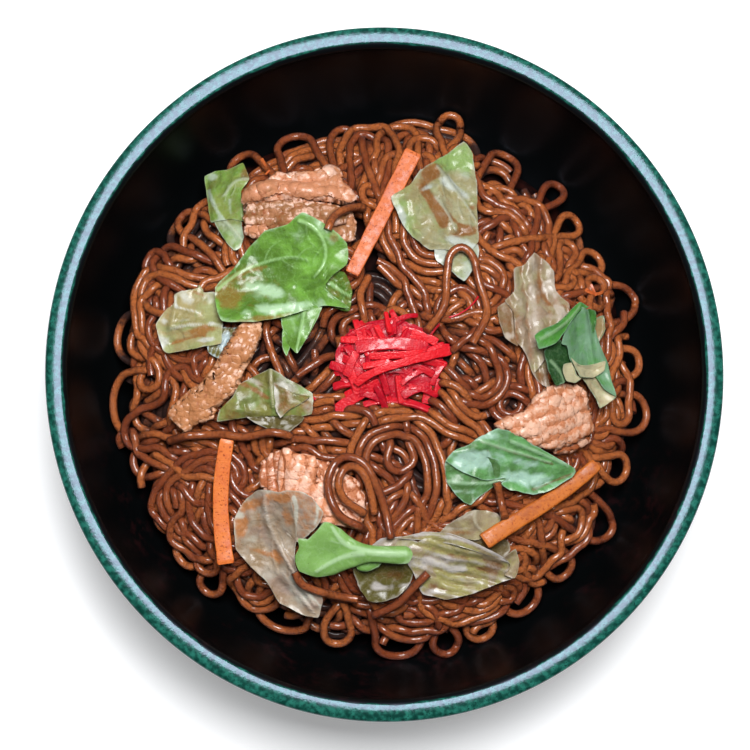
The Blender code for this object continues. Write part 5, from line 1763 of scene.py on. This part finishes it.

# %% [markdown]
# ## Noodle finish and the swept pieces
# Fried noodles are golden brown, redder and darker in patches of sauce, and each has its
# own tone. Their sides are darkened as painted shade, and deep in the heap they are darkened to
# nearly black brown as painted shade in the gaps. An oily coat, broken up by noise and by a fine
# bump, gives the short bright glints along their tops.

# %% Noodle finish
def noodle_finish():
    noodle = Finish("fried noodle", IOR=1.36, Specular_IOR_Level=0.5, Coat_IOR=1.65, Coat_Roughness=0.21)
    deep = noodle.attribute("deep")
    sauce = noodle.noise(1.3 * MM, 4, 0.6, 0.5)
    fine = noodle.noise(0.9 * MM, 4, 0.65)
    grain = noodle.noise(0.45 * MM, 2).ramp(0.4, 0.6)
    tone = noodle.attribute("tone") + (noodle.noise(8 * MM, 3) - 0.5) * 1.4
    colour = noodle.mix(tone.ramp(0.0, 1.0), (130, 59, 25), (176, 96, 44))
    colour = noodle.mix(sauce.ramp(0.45, 0.68) * 0.4, colour, (88, 36, 18))
    # The sides and underside of a noodle darken by the under value: painted shade.
    under = noodle.attribute("under") + (sauce - 0.5) * 0.8
    colour = noodle.mix(under.ramp(0.1, 0.8) * 0.88, colour, (58, 18, 11))
    # Noodles that lie deep below others darken to nearly black: painted shade in the gaps.
    soaked = deep + (sauce - 0.5) * 0.5
    colour = noodle.mix(soaked.ramp(0.0, 0.6) * 0.96, colour, (32, 11, 8))
    specks = noodle.noise(0.8 * MM, 1).ramp(0.74, 0.78) * 0.8
    colour = noodle.mix(specks, colour, (24, 10, 6))
    oily = noodle.noise(2.4 * MM, 4, 0.6).ramp(0.36, 0.56)
    coat = (oily * 0.75 + 0.25) * (grain * 0.8 + 0.24) * (1.0 - deep * 0.85)
    return noodle.set(Base_Color=colour, Coat_Weight=coat, Roughness=fine * 0.3 + 0.2 + deep * 0.5,
                      Normal=noodle.bump(fine + sauce * 0.3 + grain * 0.12, 1.0 * MM, 0.95))


NOODLE_FINISH = noodle_finish()


def noodle_piece(name, points, strand, values, spacing, sides):
    """A swept piece that also knows how far each of its points looks away from above."""
    piece = swept(name, points, strand, values, spacing, sides, NOODLE_FINISH)
    normals = np.empty(3 * len(piece.data.vertices), np.float32)
    piece.data.vertices.foreach_get("normal", normals)
    # 0 on top of a noodle, 1 from its sides downwards; the finish darkens by it, as painted shade
    store(piece.data, "under", np.clip(1 - normals[2::3], 0, 1))
    stand_for(piece, "noodles")

# %% Swept pieces
def depth_below_others(points, heights):
    """How far each point lies below the highest noodles near it, in mm."""
    column, row = ((points[:, :2] + HALF_GRID) / 2).astype(int).T
    tops = np.full((HALF_GRID + 1, HALF_GRID + 1), -99.0)       # one for each cell of 2 mm
    np.maximum.at(tops, (row, column), heights)
    for _ in range(2):
        wide = np.maximum(np.maximum(tops[:-2], tops[1:-1]), tops[2:])
        tops[1:-1, 1:-1] = np.maximum(np.maximum(wide[:, :-2], wide[:, 1:-1]), wide[:, 2:])
    return tops[row, column] - heights


# On a steep side a noodle's neighbours are higher without covering it, so depth is also
# measured along the slope, and the smaller of the two counts.
slope = Heights(np.where(beyond, in_bowl + 6, mound)).at(points[:, 0], points[:, 1])
depth = np.minimum(
    depth_below_others(points, points[:, 2]), depth_below_others(points, points[:, 2] - slope))
room = Heights(mound - in_bowl).at(points[:, 0], points[:, 1])
own = np.random.RandomState(3).rand(strand.max() + 1)
# A noodle's depth below its neighbours sets its painted shade, near black in the gaps.
DEEP_FROM, DEEP_WITHIN = 2.7, 4.3       # where a noodle starts to darken, and over what depth
values = {
    "tone": own[strand],
    "girth": 0.93 + 0.14 * own[(strand * 7) % len(own)],
    "deep": np.clip((depth - DEEP_FROM) / DEEP_WITHIN, 0, 1) * np.clip((room - 5) / 10, 0.1, 1),
}
starts = [0, len(routes) // 3, 2 * len(routes) // 3, len(routes), strand.max() + 1]
for layer, first, last in zip(("lowest", "middle", "upper", "edge"), starts, starts[1:]):
    chosen = (strand >= first) & (strand < last)
    layer_values = {label: numbers[chosen] for label, numbers in values.items()}
    noodle_piece("noodles_" + layer, points[chosen], strand[chosen], layer_values, 1.4, 10)

# %% [markdown]
# ## Core of the heap
# Under three layers of noodles lies a smaller, uneven core, coloured nearly black brown as
# painted shade for the depths of the heap. It ends about ten millimetres inside the heap's edge,
# so that the black bowl shows between the outer loops.

# %% Core
CORE_REACH = 0.9            # share of the way from the heap's middle to its edge


def core():
    across, along = round_grid(120)
    turn = np.degrees(np.arctan2(along, across)) % 360
    edge = np.interp(turn, np.arange(73) * 5, edge_reach + edge_reach[:1])
    x, y = HEAP_X + across * edge * CORE_REACH, HEAP_Y + along * edge * CORE_REACH
    lumps = 0.9 * layered_cloud(x, y, 7.0, 77)
    bottom = Heights(in_bowl).at(x, y) + 0.3
    top = np.maximum(Heights(mound).at(x, y) - CORE_DEPTH - 0.6 + lumps, bottom + 0.2)
    shells = Shells()
    shells.add(*close_sheet(np.stack([x, y, (top + bottom) / 2], -1), (top - bottom) / 2))
    # The core's near-black brown is painted shade for the depths of the heap.
    dark = Finish("soaked core", Roughness=0.7, IOR=1.3, Specular_IOR_Level=0.1)
    dark.set(Base_Color=dark.mix(dark.noise(5 * MM, 4).ramp(0.35, 0.65), (8, 4, 4), (34, 11, 8)))
    stand_for(shells.piece("noodle_core", dark.material), "noodles")


core()

# %% [markdown]
# ## Noodles over the toppings
# A few noodles lie on top: one bows over the pale leaf at the back, one crosses the end of a
# carrot stick, and ends rest on the pork and on the leaves at the front. Their routes are
# listed, and their heights are those of what lies below them, evened out so that each noodle
# arches freely.

# %% Noodles over the toppings
# The topping that a route is tied to, and the route in percent of the topping's half box.
OVER_ROUTES = [
    ("cabbage_4", [(-20, -190), (20, -150), (28, -100), (35, -70), (60, -57), (85, -72), (98, -110),
                   (115, -160), (80, -210)]),
    ("carrot_2", [(-450, 98), (-240, 104), (-30, 105), (150, 100), (360, 106), (550, 100)]),
    ("cabbage_11", [(-4, -25), (-20, -65), (-40, -115), (-70, -150)]),
    ("cabbage_9", [(38, -33), (50, -50), (75, -60), (115, -68), (170, -75)]),
    ("pork_1", [(45, -75), (55, -40), (75, -15), (95, -2), (108, 2)]),
    ("carrot_3", [(-73, 45), (-66, 10), (-60, -35)]),
    ("pork_3", [(100, -90), (52, -60), (30, 0), (40, 50), (66, 72), (100, 55), (125, 0), (140, -50),
                (150, -110)]),
    ("pork_3", [(100, -55), (62, -25), (50, 10), (60, 42), (80, 50), (100, 30), (112, -10), (120, -60)]),
]
BESIDE = 1.2                # how far from a noodle's middle the surface below it is felt


def in_box(node, percent):
    """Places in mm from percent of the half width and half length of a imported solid."""
    low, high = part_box(node)
    middle, half = 500 * (low + high), 500 * (high - low)
    return [(middle.x + across / 100 * half.x, middle.y + along / 100 * half.y) for across, along in percent]


def evened(heights, rounds):
    """Heights smoothed along a route, never below what lies under it."""
    lowest = heights.copy()
    for _ in range(rounds):
        smooth = (heights[:-2] + 2 * heights[1:-1] + heights[2:]) / 4
        heights[1:-1] = np.maximum(lowest[1:-1], smooth)
    return heights


top_surface = Heights(np.maximum(over_toppings, np.where(beyond, in_bowl, mound)))
over_points, over_strand = [], []
for number, (node, percent) in enumerate(OVER_ROUTES):
    route = curve_through(in_box(node, percent), 1.2)
    heights = np.max([
        top_surface.at(route[:, 0] + dx, route[:, 1] + dy)
        for dx in (-BESIDE, BESIDE) for dy in (-BESIDE, BESIDE)], 0)
    over_points.append(np.c_[route, evened(heights + 0.4 * NOODLE, 30)])
    over_strand.append(np.full(len(route), number))
over_points, over_strand = np.concatenate(over_points), np.concatenate(over_strand)
same = np.ones(len(over_strand))
over_values = {"tone": own[over_strand * 3], "girth": same, "deep": 0 * same}
noodle_piece("noodles_over_toppings", over_points, over_strand, over_values, 1.2, 12)

# %% [markdown]
# ## Small bits
# A few shreds of carrot and ginger have strayed: two small orange ones near the back, two at
# the right edge, and two red ones beside the pinch of ginger.

# %% Stray shreds
# The topping that a shred is tied to, its places in percent of the half box, width in mm.
CARROT_SHREDS = [
    ("cabbage_1", [(145, 100), (160, 82)], 1.3), ("cabbage_1", [(175, 70), (160, 60)], 0.9),
    ("cabbage_6", [(35, 130), (60, 124), (80, 130)], 1.5), ("cabbage_6", [(50, 142), (62, 120)], 1.1),
]
GINGER_SHREDS = [
    ("ginger", [(90, 85), (115, 100), (135, 130)], 0.6), ("ginger", [(-125, -70), (-110, -85)], 1.2),
]


def stray_shreds(name, finish, shreds):
    shells = Shells()
    for number, (node, percent, width) in enumerate(shreds):
        places = np.array(in_box(node, percent))
        line = np.c_[places, ceiling.at(places[:, 0], places[:, 1]) + 0.5]
        add_stick(shells, line, (width, 0.7 * width), 0.7, 0.3, (0, 40), 0.5, 0.2, number, tone=0.5)
    stand_for(shells.piece(name, finish, 60))


stray_shreds("carrot_shreds", RAW_CUT, CARROT_SHREDS)
stray_shreds("ginger_shreds", ginger_finish(), GINGER_SHREDS)

# %% [markdown]
# ## Floor
# The floor is only for the render.

# %% Floor
def lay_floor(half):
    pale, white = (0.82, 0.82, 0.82, 1), (1, 1, 1, 1)
    surface = Finish("plain floor", Roughness=0.6, Emission_Strength=0.3)
    surface.set(Base_Color=pale, Emission_Color=white)
    mesh = bpy.data.meshes.new("floor")
    corners = [(-half, -half, 0), (half, -half, 0), (half, half, 0), (-half, half, 0)]
    mesh.from_pydata(corners, [], [(0, 1, 2, 3)])
    mesh.materials.append(surface.material)
    place_object("floor", mesh)


lay_floor(3.0)
